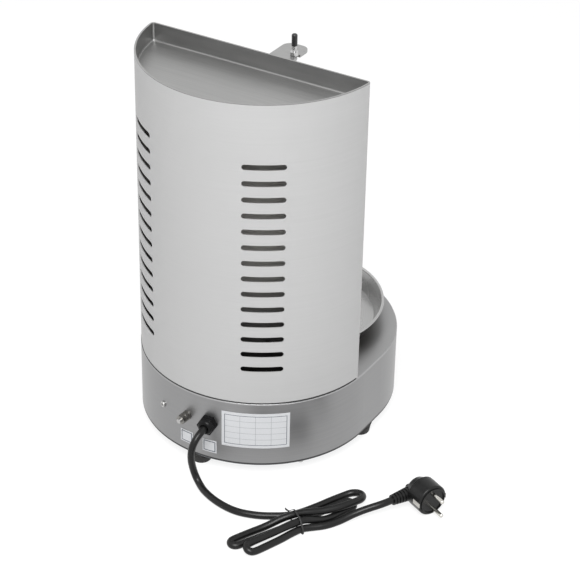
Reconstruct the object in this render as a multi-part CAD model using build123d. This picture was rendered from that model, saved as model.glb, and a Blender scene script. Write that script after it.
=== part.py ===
from build123d import *
import math
import os

# Upright kebab broiler. Millimetres, +Z up, front towards -Y, origin on the floor under the base's middle.

# Base drum and its bottom plate
base_radius = 145.0
base_stretch = 42.0
base_height = 86.0
base_sheet = 1.2
base_edge = 1.5
base_flange = 9.5
bottom_sheet = 1.2
bottom_inset = 1.0
bottom_screw_angle = 52.0
vent_count = 9
vent_length = 50.0
vent_width = 3.0
vent_pitch = 8.0

# Rubber feet
foot_height = 14.8
foot_floor_radius = 12.0
foot_top_radius = 15.0
foot_inset = 15.0
foot_bore_depth = 8.0

# Fasteners
screw_radius = 2.0
screw_head_radius = 3.7
screw_head_height = 2.3
bolt_radius = 2.5
bolt_head_radius = 4.8
bolt_head_height = 3.2
nut_across = 8.0
nut_height = 4.0
thread_gap = 0.05
hole_gap = 0.2

# Spit axis and drive
spit_forward = 45.0
motor_radius = 32.0
motor_height = 32.0
motor_boss_radius = 13.0
motor_boss_height = 6.0
motor_screw_circle = 24.0
motor_drop = 38.0
bracket_sheet = 2.0
bracket_width = 62.0
bracket_span = 108.0
bracket_flange = 16.0
bush_radius = 9.0
bush_flange_radius = 15.0
bush_flange = 2.0
bush_length = 12.0
shaft_radius = 6.0
shaft_end_radius = 4.0
shaft_end_length = 14.0
thrust_collar_radius = 10.0
thrust_collar = 3.0
drive_square = 7.0
drive_square_height = 14.0
running_gap = 0.05
side_gap = 0.1
seat_gap = 0.3

# Turntable and spit
turntable_radius = 75.0
turntable_sheet = 2.0
turntable_lift = 30.0
turntable_hub_radius = 16.0
turntable_hub = 6.0
socket_radius = 11.0
socket_height = 16.0
spit_radius = 5.0
journal_radius = 3.0
journal_length = 11.0
stub_radius = 2.0
collar_across = 9.0
collar_height = 4.0
ferrule_radius = 3.2
ferrule_height = 4.0
ferrule_lift = 12.0
grip_radius = 3.4
grip_height = 14.6

# Drip pan
pan_rim_radius = 116.0
pan_floor_radius = 105.0
pan_depth = 22.6
pan_lip_run = 4.3
pan_lip_rise = 8.4
pan_sheet = 0.8
pan_sleeve_radius = 22.0
pan_sleeve_height = 15.0

# Rear shield
shield_setback = 0.5
shield_height = 383.0
shield_sheet = 1.0
shield_chord = 10.7
shield_corner = 4.5
shield_return = 21.1
shield_flange = 12.0
shield_flange_start = 60.0
shield_screw_angles = (-50.0, 0.0, 50.0)
sheet_fit = 0.2
slot_columns = (32.6, -37.4)
slot_count = 14
slot_pitch = 20.0
slot_length = 49.0
slot_height = 6.8
slot_drop = 75.0

# Warming tray
tray_depth = 22.0
tray_sheet = 0.8
tray_corner = 3.0

# Reflector, hood and arm
reflector_sheet = 0.8
reflector_end_gap = 9.1
reflector_step = 10.0
reflector_apex = 18.0
reflector_depth = 74.0
reflector_screw_rows = 3
hood_sheet = 1.0
hood_drop = 34.0
arm_sheet = 3.0
arm_width = 32.0
arm_shift = 10.0
arm_reach = 27.5
arm_root = 44.0
arm_corner = 11.0
arm_bolt_pitch = 18.0

# Heating elements and guards
element_radius = 3.5
element_spacing = 44.0
element_stand_off = 14.0
element_low = 40.0
element_high = 326.0
element_bend = 10.0
element_tail = 12.0
ceramic_radius = 6.0
ceramic_flange_radius = 8.5
ceramic_flange = 2.0
ceramic_back = 5.0
clip_width = 8.0
clip_sheet = 2.0
clip_drop = 40.0
guard_radius = 1.5
guard_width = 70.0
guard_stand_off = 27.0
guard_margin = 12.0
guard_wires = 11

# Front controls
control_height = 44.0
switch_angle = 27.0
lamp_angle = -27.0
thermostat_size = 36.0
thermostat_depth = 22.0
thermostat_back = 2.0
thermostat_bush_radius = 4.8
thermostat_bush_reach = 5.0
thermostat_nut_across = 14.0
thermostat_nut = 2.5
spindle_radius = 3.0
spindle_reach = 12.0
knob_radius = 19.0
knob_skirt = 5.0
knob_grip_radius = 13.5
knob_height = 13.8
knob_gap = 1.2
knob_recess_radius = 10.0
knob_recess = 5.0
rocker_width = 17.0
rocker_length = 23.0
rocker_rise = 4.5
rocker_dip = 2.0
rocker_sink = 5.0
rocker_rest_tilt = 9.0
rocker_gap = 0.4
rocker_end_gap = 1.3
trunnion_radius = 1.5
trunnion_length = 1.2
switch_wall = 1.6
switch_end_wall = 1.4
switch_bezel_margin = 1.6
switch_bezel = 2.2
switch_depth = 20.0
switch_cavity = 9.0
lamp_radius = 5.0
lamp_bezel_radius = 7.5
lamp_bezel = 1.8
lamp_lens_radius = 5.5
lamp_lens = 4.5
lamp_depth = 14.0
wall_gap = 0.1

# Rear fittings
fitting_height = 50.3
gland_angle = 7.8
gland_across = 20.0
gland_hex = 5.0
gland_thread_radius = 8.0
gland_thread = 10.0
gland_nose_radius = 7.4
gland_nose = 5.0
gland_dome = 8.0
gland_dome_hex = 5.0
gland_mouth_radius = 5.8
locknut_across = 22.0
locknut_height = 4.0
locknut_back = 2.1
stud_angle = -4.1
stud_radius = 3.0
stud_reach = 16.0
stud_tip_radius = 2.8
stud_head = 4.0
stud_nut_across = 10.0
stud_nut = 5.0
stud_washer_radius = 6.0
stud_washer = 1.2
screw_angle = -19.9
screw_drop = 3.7
screw_length = 9.0
terminal_plate = 40.0
terminal_plate_height = 30.0
terminal_plate_sheet = 1.5
terminal_plate_back = 2.8
terminal_block_width = 34.0
terminal_block_height = 18.0
terminal_block_depth = 14.0
terminal_ways = 3
terminal_screw_radius = 2.4
grommet_radius = 8.0
grommet_bore = 4.5
grommet_lip = 2.0
grommet_groove = 1.5
grommet_side = 78.0
grommet_rear = 88.0
label_gap = 0.05
label_sheet = 0.4
rating_angle = 30.0
rating_width = 80.0
rating_height = 48.5
rating_drop = 2.0
sticker_width = 18.0
sticker_height = 17.0
sticker_angles = (-4.3, 8.1)
sticker_drops = (30.5, 32.5)

# Power cord. The route starts in the gland and its other points are chosen by hand.
cord_diameter = 8.6
cord_float = 0.05
cord_gland_start = 2.0
cord_gland_run = 17.5
lead_points = [
    (-21.3, 189.9, 63.4),
    (-20.0, 196.1, 57.6),
    (-18.6, 200.1, 49.0),
    (-17.4, 201.3, 37.1),
    (-17.4, 200.1, 24.2),
    (-20.3, 199.6, 12.6),
    (-28.5, 202.3, 5.0),
    (-43.0, 209.0, 4.35),
    (-66.0, 217.5, 4.35),
    (-93.0, 220.5, 4.35),
    (-117.5, 213.0, 4.35),
    (-134.0, 203.2, 4.35),
]
bend_share = 0.45

# Hank of the cord, in its own frame: x along the hank, y away from it, z up
hank_x = -162.0
hank_y = 203.0
hank_turn = 244.62
tie_width = 3.0
tie_shift = 3.0
tie_sheet = 0.8
tie_corner = 3.0

# Angled plug at the cord's end
plug_reach = 146.5
plug_side = -62.0
plug_radius = 19.0
plug_depth = 20.0
plug_shoulder = 8.0
plug_shoulder_radius = 13.0
plug_edge = 2.0
plug_neck_radius = 10.5
relief_length = 26.0
relief_drop = 2.5
relief_radius = 6.2
relief_end_radius = 8.6
relief_ribs = 6
relief_groove = 1.2
pin_radius = 2.4
pin_length = 19.0
pin_spacing = 19.0
clip_strip_width = 6.0
clip_strip_sheet = 0.6
clip_strip_length = 12.0

# Levels and places that follow from the sizes
base_bottom = foot_height + bottom_sheet
base_top = base_bottom + base_height
rear_y = base_stretch / 2
front_y = -base_stretch / 2
spit_y = -spit_forward
chord_y = rear_y + shield_chord
shield_radius = base_radius - shield_setback
shield_half = math.sqrt(shield_radius**2 - shield_chord**2)
shield_opening = 2 * (shield_half - shield_return)
reflector_mouth = shield_opening / 2 - reflector_step
reflector_end = shield_half - reflector_end_gap
shield_top = base_top + shield_height
tray_floor = shield_top - tray_depth
hood_level = shield_top - hood_drop - hood_sheet
arm_level = hood_level - arm_sheet
motor_top = base_top - motor_drop
shaft_top = base_top + turntable_lift - turntable_hub
disc_level = base_top + turntable_lift
socket_top = disc_level + turntable_sheet + socket_height
cord_radius = cord_diameter / 2
control_level = base_bottom + control_height
fitting_level = base_bottom + fitting_height
lip_level = base_top + pan_depth

STANDING = (Align.CENTER, Align.CENTER, Align.MIN)
parts = {}


def oval(radius, low, height):
    """Upright block with the base's long round plan."""
    plan = SlotCenterToCenter(base_stretch, 2 * radius, rotation=90)
    return Pos(0, 0, low) * extrude(plan, height)


def post(radius, low, high):
    """Round post on the Z axis between two levels."""
    return Pos(0, 0, low) * Cylinder(radius, high - low, align=STANDING)


def hexagon(across, low, high):
    """Hexagon bar on the Z axis between two levels."""
    return Pos(0, 0, low) * extrude(RegularPolygon(across / 2, 6, major_radius=False), high - low)


def block(width, length, low, high):
    """Square bar on the Z axis between two levels."""
    return Pos(0, 0, low) * Box(width, length, high - low, align=STANDING)


def screw(radius, head_radius, head_height, length):
    """Pan-head screw: the head stands on z = 0 and the shank hangs below it."""
    head = post(head_radius, 0, head_height)
    head = fillet(head.edges().group_by(Axis.Z)[-1], head_height * 0.45)
    recess = Pos(0, 0, head_height) * Box(head_radius * 1.1, head_radius * 0.25, head_height)
    head -= [recess, Rot(0, 0, 90) * recess]
    return head + post(radius, -length, 0)


def rear_wall(angle, level, out=0.0):
    """Place on the base's rear wall, Z pointing out. The angle counts from the rear middle towards -X."""
    return Pos(0, rear_y, level) * Rot(0, 0, angle) * Pos(0, base_radius + out, 0) * Rot(-90, 0, 0)


def front_wall(angle, level):
    """Place on the base's front wall, Z pointing out. The angle counts from the front middle towards +X."""
    return Pos(0, front_y, level) * Rot(0, 0, angle) * Pos(0, -base_radius, 0) * Rot(90, 0, 0)


def at_spit(shape):
    """Move a shape from the Z axis to the spit axis."""
    return Pos(0, spit_y, 0) * shape


def shield_face(inset):
    """Half-round plan of the shield with a straight front, drawn in by an inset."""
    disc = Pos(0, rear_y) * Circle(shield_radius - inset)
    behind = Pos(0, chord_y + inset) * Rectangle(
        4 * shield_radius, 4 * shield_radius, align=(Align.CENTER, Align.MIN)
    )
    return fillet((disc & behind).vertices(), shield_corner - inset)


def ribbon(points, thickness):
    """Plan of a bent sheet: the line through the points and the same line moved to its left."""
    line = [Vector(*p) for p in points]
    runs = [(b - a).normalized() for a, b in zip(line, line[1:])]
    sides = [Vector(-r.Y, r.X) for r in runs]
    moved = []
    for i, p in enumerate(line):
        one = sides[max(i - 1, 0)]
        two = sides[min(i, len(sides) - 1)]
        moved.append(p + (one + two) * (thickness / (1 + one.dot(two))))
    return make_face(Polyline(*line, *reversed(moved), close=True))


# Base shell: a pressed drum, open below but for its inward flange
foot_offset = base_radius - foot_inset
foot_places = {
    "rear": (0, rear_y + foot_offset),
    "front": (0, front_y - foot_offset),
    "left": (-foot_offset, 0),
    "right": (foot_offset, 0),
}
flange_middle = base_flange / 2
bottom_screw_places = []
for turn in (-bottom_screw_angle, bottom_screw_angle):
    bottom_screw_places.append(rear_wall(turn, 0, -flange_middle).position)
    bottom_screw_places.append((front_wall(turn, 0) * Pos(0, 0, -flange_middle)).position)
shield_screw_reach = shield_radius - shield_sheet - shield_flange / 2
shield_screw_places = [
    (Pos(0, rear_y) * Rot(0, 0, turn) * Pos(0, shield_screw_reach)).position for turn in shield_screw_angles
]
grommet_places = [Vector(x, grommet_rear) for x in (-grommet_side, grommet_side)]

thermostat_place = front_wall(0, control_level)
switch_place = front_wall(switch_angle, control_level)
lamp_place = front_wall(lamp_angle, control_level)
gland_place = rear_wall(gland_angle, fitting_level)
stud_place = rear_wall(stud_angle, fitting_level)
screw_place = rear_wall(screw_angle, fitting_level - screw_drop)

switch_body_width = rocker_width + 2 * rocker_gap + 2 * switch_wall
switch_body_length = rocker_length + 2 * rocker_end_gap + 2 * switch_end_wall
wall_reach = 3 * base_sheet

shell = oval(base_radius, base_bottom, base_height)
shell = fillet(shell.edges().group_by(Axis.Z)[-1], base_edge)
shell -= oval(base_radius - base_sheet, base_bottom + base_sheet, base_height - 2 * base_sheet)
shell -= oval(base_radius - base_flange, base_bottom, base_sheet)
shell -= at_spit(post(bush_radius + thread_gap, base_top - 2 * base_sheet, base_top + base_sheet))
shell -= [
    Pos(p.X, p.Y) * post(screw_radius + thread_gap, base_bottom - base_sheet, base_bottom + 2 * base_sheet)
    for p in bottom_screw_places
]
shell -= [
    Pos(p.X, p.Y) * post(screw_radius + thread_gap, base_top - 2 * base_sheet, base_top + base_sheet)
    for p in shield_screw_places
]
shell -= [
    Pos(p.X, p.Y) * post(grommet_radius - grommet_groove, base_top - 2 * base_sheet, base_top + base_sheet)
    for p in grommet_places
]
shell -= thermostat_place * post(thermostat_bush_radius + hole_gap, -wall_reach, wall_reach)
shell -= switch_place * block(
    switch_body_width + 2 * hole_gap, switch_body_length + 2 * hole_gap, -wall_reach, wall_reach
)
shell -= lamp_place * post(lamp_radius + hole_gap, -wall_reach, wall_reach)
shell -= gland_place * post(gland_thread_radius + hole_gap, -wall_reach, wall_reach)
shell -= stud_place * post(stud_radius + hole_gap, -wall_reach, wall_reach)
shell -= screw_place * post(screw_radius + thread_gap, -wall_reach, wall_reach)
parts["base_shell"] = shell

# Bottom plate with motor vents, screwed up into the flange
plate = oval(base_radius - bottom_inset, foot_height, bottom_sheet)
plate -= [
    Pos(p.X, p.Y) * post(screw_radius + hole_gap, foot_height - 1, base_bottom + 1) for p in bottom_screw_places
]
plate -= [Pos(x, y) * post(bolt_radius + hole_gap, foot_height - 1, base_bottom + 1) for x, y in foot_places.values()]
vent = extrude(SlotOverall(vent_length, vent_width), 3 * bottom_sheet, both=True)
plate -= [
    Pos(0, spit_y + (i - (vent_count - 1) / 2) * vent_pitch, foot_height) * vent for i in range(vent_count)
]
parts["bottom_plate"] = plate
bottom_screw = Rot(180, 0, 0) * screw(
    screw_radius, screw_head_radius, screw_head_height, bottom_sheet + 3 * base_sheet
)
parts["bottom_plate_screws"] = Compound([Pos(p.X, p.Y, foot_height) * bottom_screw for p in bottom_screw_places])

# Feet: tapered rubber with a sunk bolt each
foot = Cone(foot_floor_radius, foot_top_radius, foot_height, align=STANDING)
foot -= post(bolt_head_radius + hole_gap, -1, foot_bore_depth)
foot -= post(bolt_radius + hole_gap, 0, 2 * foot_height)
for side, (x, y) in foot_places.items():
    parts["rubber_foot_" + side] = Pos(x, y) * foot
foot_bolt_length = foot_height - foot_bore_depth + bottom_sheet + nut_height + 1.5
foot_bolt = Pos(0, 0, foot_bore_depth) * Rot(180, 0, 0) * screw(
    bolt_radius, bolt_head_radius, bolt_head_height, foot_bolt_length
)
foot_nut = hexagon(nut_across, base_bottom, base_bottom + nut_height)
foot_nut -= post(bolt_radius + thread_gap, base_bottom - 1, base_bottom + nut_height + 1)
parts["foot_fasteners"] = Compound(
    [Pos(x, y) * piece for x, y in foot_places.values() for piece in (foot_bolt, foot_nut)]
)

# Gear motor under a bracket that is welded below the drum's top
motor_low = motor_top - motor_height
boss_top = motor_top + motor_boss_height
motor = post(motor_radius, motor_low, motor_top)
motor = fillet(motor.edges().group_by(Axis.Z)[0], 2)
motor += post(motor_boss_radius, motor_top, boss_top)
motor -= post(shaft_end_radius + running_gap, boss_top - shaft_end_length - seat_gap, boss_top + 1)
motor_screw_places = [
    Rot(0, 0, 45 + 90 * i) * Pos(motor_screw_circle, 0) for i in range(4)
]
motor_screw_depth = 8.0
motor_hole = post(screw_radius + thread_gap, motor_top - motor_screw_depth - seat_gap, motor_top + 1)
motor -= [p * motor_hole for p in motor_screw_places]
parts["gear_motor"] = at_spit(motor)
bracket_top = motor_top + bracket_sheet
shell_underside = base_top - base_sheet
bracket_outline = [
    (-bracket_span / 2 - bracket_flange, shell_underside),
    (-bracket_span / 2, shell_underside),
    (-bracket_span / 2, bracket_top),
    (bracket_span / 2, bracket_top),
    (bracket_span / 2, shell_underside),
    (bracket_span / 2 + bracket_flange, shell_underside),
]
bracket_profile = ribbon(list(reversed(bracket_outline)), bracket_sheet)
bracket = extrude(Plane.XZ * bracket_profile, bracket_width / 2, both=True)
bracket -= post(motor_boss_radius + hole_gap, motor_top - 1, bracket_top + 1)
bracket_hole = post(screw_radius + hole_gap, motor_top - 1, bracket_top + 1)
bracket -= [p * bracket_hole for p in motor_screw_places]
parts["motor_bracket"] = at_spit(bracket)
motor_screw = Pos(0, 0, bracket_top) * screw(
    screw_radius, screw_head_radius, screw_head_height, bracket_sheet + motor_screw_depth
)
parts["motor_screws"] = Compound([at_spit(p * motor_screw) for p in motor_screw_places])

# Drive: flanged bush in the drum's top and the shaft that turns in it
bush_top = base_top + bush_flange
bush = post(bush_flange_radius, base_top, bush_top) + post(bush_radius, bush_top - bush_length, base_top)
bush -= post(shaft_radius + running_gap, bush_top - bush_length - 1, bush_top + 1)
parts["shaft_bush"] = at_spit(bush)
collar_low = bush_top + seat_gap
shaft = post(shaft_end_radius, boss_top - shaft_end_length, boss_top + 2)
shaft += post(shaft_radius, boss_top + 2, shaft_top)
shaft += post(thrust_collar_radius, collar_low, collar_low + thrust_collar)
shaft += block(drive_square, drive_square, shaft_top, shaft_top + drive_square_height)
parts["drive_shaft"] = at_spit(shaft)

# Turntable: a disc with a square socket that joins shaft and spit
turntable = post(turntable_hub_radius, shaft_top, disc_level)
turntable += post(turntable_radius, disc_level, disc_level + turntable_sheet)
turntable += post(socket_radius, disc_level + turntable_sheet, socket_top)
turntable -= block(
    drive_square + 2 * side_gap, drive_square + 2 * side_gap, shaft_top - 1, socket_top + 1
)
parts["turntable"] = at_spit(turntable)

# Spit: square foot, round rod, thin journal in the arm's notch, threaded stub with its grip
arm_top = arm_level + arm_sheet
collar_level = arm_top + seat_gap
journal_top = collar_level + collar_height
spit_shoulder = journal_top - journal_length - collar_height
ferrule_level = arm_top + ferrule_lift - ferrule_height
grip_level = ferrule_level + ferrule_height
spit = block(drive_square, drive_square, shaft_top + drive_square_height + seat_gap, socket_top)
spit += post(spit_radius, socket_top, spit_shoulder)
spit += post(journal_radius, spit_shoulder, journal_top)
spit += post(stub_radius, journal_top, grip_level + grip_height * 0.75)
parts["spit_rod"] = at_spit(spit)
spit_collar = hexagon(collar_across, collar_level, journal_top)
spit_collar -= post(journal_radius + running_gap, collar_level - 1, journal_top + 1)
parts["spit_collar"] = at_spit(spit_collar)
ferrule = post(ferrule_radius, ferrule_level, grip_level)
ferrule -= post(stub_radius + running_gap, ferrule_level - 1, grip_level + 1)
parts["spit_ferrule"] = at_spit(ferrule)
grip = post(grip_radius, grip_level, grip_level + grip_height)
grip = fillet(grip.edges().group_by(Axis.Z)[-1], grip_radius * 0.6)
grip -= post(stub_radius + running_gap, grip_level - 1, grip_level + grip_height * 0.75 + seat_gap)
parts["spit_grip"] = at_spit(grip)

# Drip pan: pressed ring with a central sleeve round the drive and a flared lip
lip_foot_radius = pan_rim_radius - pan_lip_run
lip_foot_level = lip_level - pan_lip_rise
pan_outline = [
    (pan_sleeve_radius, base_top + pan_sleeve_height),
    (pan_sleeve_radius, base_top),
    (pan_floor_radius, base_top),
    (lip_foot_radius, lip_foot_level),
    (pan_rim_radius, lip_level),
]
pan_profile = ribbon(pan_outline, pan_sheet)
parts["drip_pan"] = at_spit(revolve(Plane.XZ * pan_profile, Axis.Z))

# Rear shield: slotted half-round sheet with front returns and a foot flange
shield_rim = shield_top - tray_sheet
shield = Pos(0, 0, base_top) * extrude(shield_face(0) - shield_face(shield_sheet), shield_rim - base_top)
shield -= Pos(0, chord_y + shield_sheet / 2, base_top - 1) * Box(
    shield_opening, 2 * shield_sheet, shield_height + 2, align=STANDING
)
flange_ring = Circle(shield_radius - shield_sheet / 2) - Circle(shield_radius - shield_sheet - shield_flange)
flange_rear = Pos(0, shield_flange_start) * Rectangle(
    4 * shield_radius, 4 * shield_radius, align=(Align.CENTER, Align.MIN)
)
shield += Pos(0, rear_y, base_top) * extrude(flange_ring & flange_rear, shield_sheet)
shield -= [
    Pos(p.X, p.Y) * post(screw_radius + hole_gap, base_top - 1, base_top + 2 * shield_sheet)
    for p in shield_screw_places
]
slot_reach = slot_length**2 / (4 * shield_radius) + 4 * shield_sheet
slot_cut = extrude(SlotOverall(slot_length, slot_height), slot_reach, both=True)
slot_cuts = []
for column in slot_columns:
    for row in range(slot_count):
        level = shield_top - slot_drop - row * slot_pitch
        place = Pos(0, rear_y, level) * Rot(0, 0, column) * Pos(0, shield_radius, 0) * Rot(-90, 0, 0)
        slot_cuts.append(place * slot_cut)
parts["rear_shield"] = shield - slot_cuts
shield_screw = Pos(0, 0, base_top + shield_sheet) * screw(
    screw_radius, screw_head_radius, screw_head_height, shield_sheet + 3 * base_sheet
)
parts["shield_screws"] = Compound([Pos(p.X, p.Y) * shield_screw for p in shield_screw_places])

# Heat reflector: a shallow vee behind the spit, flanged to the shield's returns
flange_y = chord_y + shield_sheet
apex_y = flange_y + reflector_depth
reflector_points = [
    (-reflector_end, flange_y),
    (-reflector_mouth, flange_y),
    (-reflector_apex, apex_y),
    (reflector_apex, apex_y),
    (reflector_mouth, flange_y),
    (reflector_end, flange_y),
]
reflector = Pos(0, 0, base_top) * extrude(ribbon(reflector_points, reflector_sheet), hood_level - base_top)


def panel_place(side):
    """Middle of one reflector panel at the drum's top: X along it, Y up, Z towards the spit."""
    inner = Vector(side * reflector_apex, apex_y)
    outer = Vector(side * reflector_mouth, flange_y)
    along = (outer - inner).normalized() * side
    middle = (inner + outer) / 2
    facing = along.cross(Vector(0, 0, 1))
    return Plane(origin=(middle.X, middle.Y, base_top), x_dir=along, z_dir=facing)


sides = {"left": -1, "right": 1}
legs = (-element_spacing / 2, element_spacing / 2)
for sign in sides.values():
    ceramic_hole = post(ceramic_radius + thread_gap, -3 * reflector_sheet, reflector_sheet)
    reflector -= [panel_place(sign) * Pos(x, element_low, 0) * ceramic_hole for x in legs]
reflector_screw_x = (shield_opening / 2 + reflector_end) / 2
reflector_screw_levels = [
    base_top + (hood_level - base_top) * (i + 0.5) / reflector_screw_rows for i in range(reflector_screw_rows)
]
reflector_screw_places = [
    Pos(sign * reflector_screw_x, chord_y, level) * Rot(90, 0, 0)
    for sign in sides.values()
    for level in reflector_screw_levels
]
reflector_hole = post(screw_radius + thread_gap, -shield_sheet - 2 * reflector_sheet, shield_sheet)
reflector -= [p * reflector_hole for p in reflector_screw_places]
parts["rear_shield"] -= [p * reflector_hole for p in reflector_screw_places]
parts["heat_reflector"] = reflector
reflector_screw = screw(
    screw_radius, screw_head_radius, screw_head_height, shield_sheet + 4 * reflector_sheet
)
parts["reflector_screws"] = Compound([p * reflector_screw for p in reflector_screw_places])

# Heating elements: hairpin tubes whose ends pass back through ceramic bushes
ceramics = []
clips = []
for name, sign in sides.items():
    panel = panel_place(sign)
    low = element_low
    high = element_high
    out = element_stand_off
    left, right = legs
    hairpin = FilletPolyline(
        (left, low, -element_tail),
        (left, low, out),
        (left, high, out),
        (right, high, out),
        (right, low, out),
        (right, low, -element_tail),
        radius=(element_bend, element_spacing * 0.45, element_spacing * 0.45, element_bend),
    )
    start = Plane(origin=hairpin @ 0, z_dir=hairpin % 0)
    parts["element_" + name] = panel * sweep(start * Circle(element_radius), hairpin)
    ceramic = post(ceramic_radius, -ceramic_back, 0) + post(ceramic_flange_radius, 0, ceramic_flange)
    ceramic -= post(element_radius + running_gap, -ceramic_back - 1, ceramic_flange + 1)
    ceramics += [panel * Pos(x, low, 0) * ceramic for x in legs]
    clip_reach = out - element_radius - seat_gap
    clip = block(element_spacing + clip_width, clip_width, clip_reach - clip_sheet, clip_reach)
    clip += block(clip_width, clip_width, 0, clip_reach)
    clips.append(panel * Pos(0, high - clip_drop, 0) * clip)
    guard_low = low - guard_margin
    guard_high = high + guard_margin
    guard = []
    for x in (-guard_width / 2, guard_width / 2):
        guard.append(Pos(x, guard_low, guard_stand_off) * Rot(-90, 0, 0) * post(guard_radius, 0, guard_high - guard_low))
        guard += [Pos(x, y, 0) * post(guard_radius, 0, guard_stand_off) for y in (guard_low, guard_high)]
        guard += [Pos(x, y, guard_stand_off) * Sphere(guard_radius) for y in (guard_low, guard_high)]
    for i in range(guard_wires):
        y = guard_low + (guard_high - guard_low) * (i + 0.5) / guard_wires
        wire = Pos(0, y, guard_stand_off) * Rot(0, 90, 0) * post(guard_radius * 0.8, -guard_width / 2, guard_width / 2)
        guard.append(wire)
    parts["element_guard_" + name] = panel * (guard[0] + guard[1:])
parts["element_bushes"] = Compound(ceramics)
parts["element_clips"] = Compound(clips)

# Hood over the heating space, with an upright front edge, and the arm bolted below it
hood = Pos(0, 0, hood_level) * extrude(shield_face(shield_sheet + sheet_fit), hood_sheet)
hood_front = chord_y + shield_sheet + sheet_fit
hood += Pos(0, hood_front + hood_sheet / 2, hood_level) * Box(
    shield_opening, hood_sheet, hood_drop - tray_depth + hood_sheet - tray_sheet - seat_gap, align=STANDING
)
arm_bolt_places = [
    Vector(arm_shift, chord_y + arm_root / 2 + offset) for offset in (-arm_bolt_pitch / 2, arm_bolt_pitch / 2)
]
arm_hole = post(bolt_radius + hole_gap, arm_level - 1, hood_level + hood_sheet + 1)
hood -= [Pos(p.X, p.Y) * arm_hole for p in arm_bolt_places]
parts["hood_panel"] = hood
arm_tip_y = spit_y - arm_reach
arm_length = chord_y + arm_root - arm_tip_y
arm_plan = Pos(arm_shift, arm_tip_y) * Rectangle(arm_width, arm_length, align=(Align.CENTER, Align.MIN))
arm_plan = fillet(arm_plan.vertices().group_by(Axis.Y)[0], arm_corner)
notch_radius = journal_radius + running_gap
arm_plan -= Pos(0, spit_y) * Circle(notch_radius)
arm_plan -= Pos(0, spit_y) * Rectangle(
    arm_width, 2 * notch_radius, align=(Align.MAX, Align.CENTER)
)
arm = Pos(0, 0, arm_level) * extrude(arm_plan, arm_sheet)
arm -= [Pos(p.X, p.Y) * arm_hole for p in arm_bolt_places]
parts["upper_arm"] = arm
arm_bolt = Pos(0, 0, hood_level + hood_sheet) * screw(
    bolt_radius, bolt_head_radius, bolt_head_height, hood_sheet + arm_sheet + nut_height + 1.5
)
arm_nut = hexagon(nut_across, arm_level - nut_height, arm_level)
arm_nut -= post(bolt_radius + thread_gap, arm_level - nut_height - 1, arm_level + 1)
parts["arm_bolts"] = Compound([Pos(p.X, p.Y) * arm_bolt for p in arm_bolt_places])
parts["arm_nuts"] = Compound([Pos(p.X, p.Y) * arm_nut for p in arm_bolt_places])

# Warming tray: a pressed pan hung in the shield's top by its rim
tray_inset = shield_sheet + sheet_fit
tray_low = tray_floor - tray_sheet
tray = Pos(0, 0, tray_low) * extrude(shield_face(tray_inset), tray_depth + tray_sheet)
tray = fillet(tray.edges().group_by(Axis.Z)[0], tray_corner)
hollow = Pos(0, 0, tray_floor) * extrude(shield_face(tray_inset + tray_sheet), tray_depth + 1)
hollow = fillet(hollow.edges().group_by(Axis.Z)[0], tray_corner - tray_sheet)
tray += Pos(0, 0, shield_rim) * extrude(shield_face(0) - shield_face(tray_inset + tray_sheet / 2), tray_sheet)
parts["top_tray"] = tray - hollow

# Thermostat behind the front wall, with its nut, spindle and knob
thermostat_front = -base_sheet - thermostat_back
bush_reach = thermostat_bush_reach
thermostat = block(thermostat_size, thermostat_size, thermostat_front - thermostat_depth, thermostat_front)
thermostat += post(thermostat_bush_radius, thermostat_front, bush_reach)
thermostat -= post(spindle_radius + running_gap, -spindle_reach - seat_gap, bush_reach + 1)
parts["thermostat_body"] = thermostat_place * thermostat
nut_back = wall_gap + seat_gap
thermostat_ring = hexagon(thermostat_nut_across, nut_back, nut_back + thermostat_nut)
thermostat_ring -= post(thermostat_bush_radius + thread_gap, 0, nut_back + thermostat_nut + 1)
parts["thermostat_nut"] = thermostat_place * thermostat_ring
knob_top = knob_gap + knob_height
parts["thermostat_spindle"] = thermostat_place * post(spindle_radius, -spindle_reach, spindle_reach)
knob = post(knob_radius, knob_gap, knob_gap + knob_skirt)
knob = fillet(knob.edges().group_by(Axis.Z)[-1], knob_skirt * 0.3)
knob += post(knob_grip_radius, knob_gap + knob_skirt, knob_top)
knob = fillet(knob.edges().group_by(Axis.Z)[-1], knob_skirt * 0.3)
knob -= post(knob_recess_radius, 0, knob_gap + knob_recess)
knob -= post(spindle_radius + running_gap, 0, spindle_reach + seat_gap)
parts["thermostat_knob"] = thermostat_place * knob

# Rocker switch: a housing with an open well and a rocker on two trunnions, resting at off
cavity_width = rocker_width + 2 * rocker_gap
cavity_length = rocker_length + 2 * rocker_end_gap
bezel_top = wall_gap + switch_bezel
housing = block(switch_body_width, switch_body_length, -switch_depth, wall_gap)
housing += block(
    switch_body_width + 2 * switch_bezel_margin, switch_body_length + 2 * switch_bezel_margin, wall_gap, bezel_top
)
housing -= block(cavity_width, cavity_length, -switch_cavity, bezel_top + 1)
trunnion_reach = rocker_width / 2 + trunnion_length
trunnion_hole_reach = trunnion_reach + seat_gap
housing -= Rot(0, 90, 0) * post(trunnion_radius + running_gap, -trunnion_hole_reach, trunnion_hole_reach)
parts["switch_housing"] = switch_place * housing
half = rocker_length / 2
rocker_outline = Polyline(
    (-half, -rocker_sink), (half, -rocker_sink), (half, rocker_rise), (0, rocker_dip), (-half, rocker_rise), close=True
)
rocker = extrude(Plane.YZ * make_face(rocker_outline), rocker_width / 2, both=True)
rocker += Rot(0, 90, 0) * post(trunnion_radius, -trunnion_reach, trunnion_reach)
parts["switch_rocker"] = switch_place * Rot(rocker_rest_tilt, 0, 0) * rocker

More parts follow.
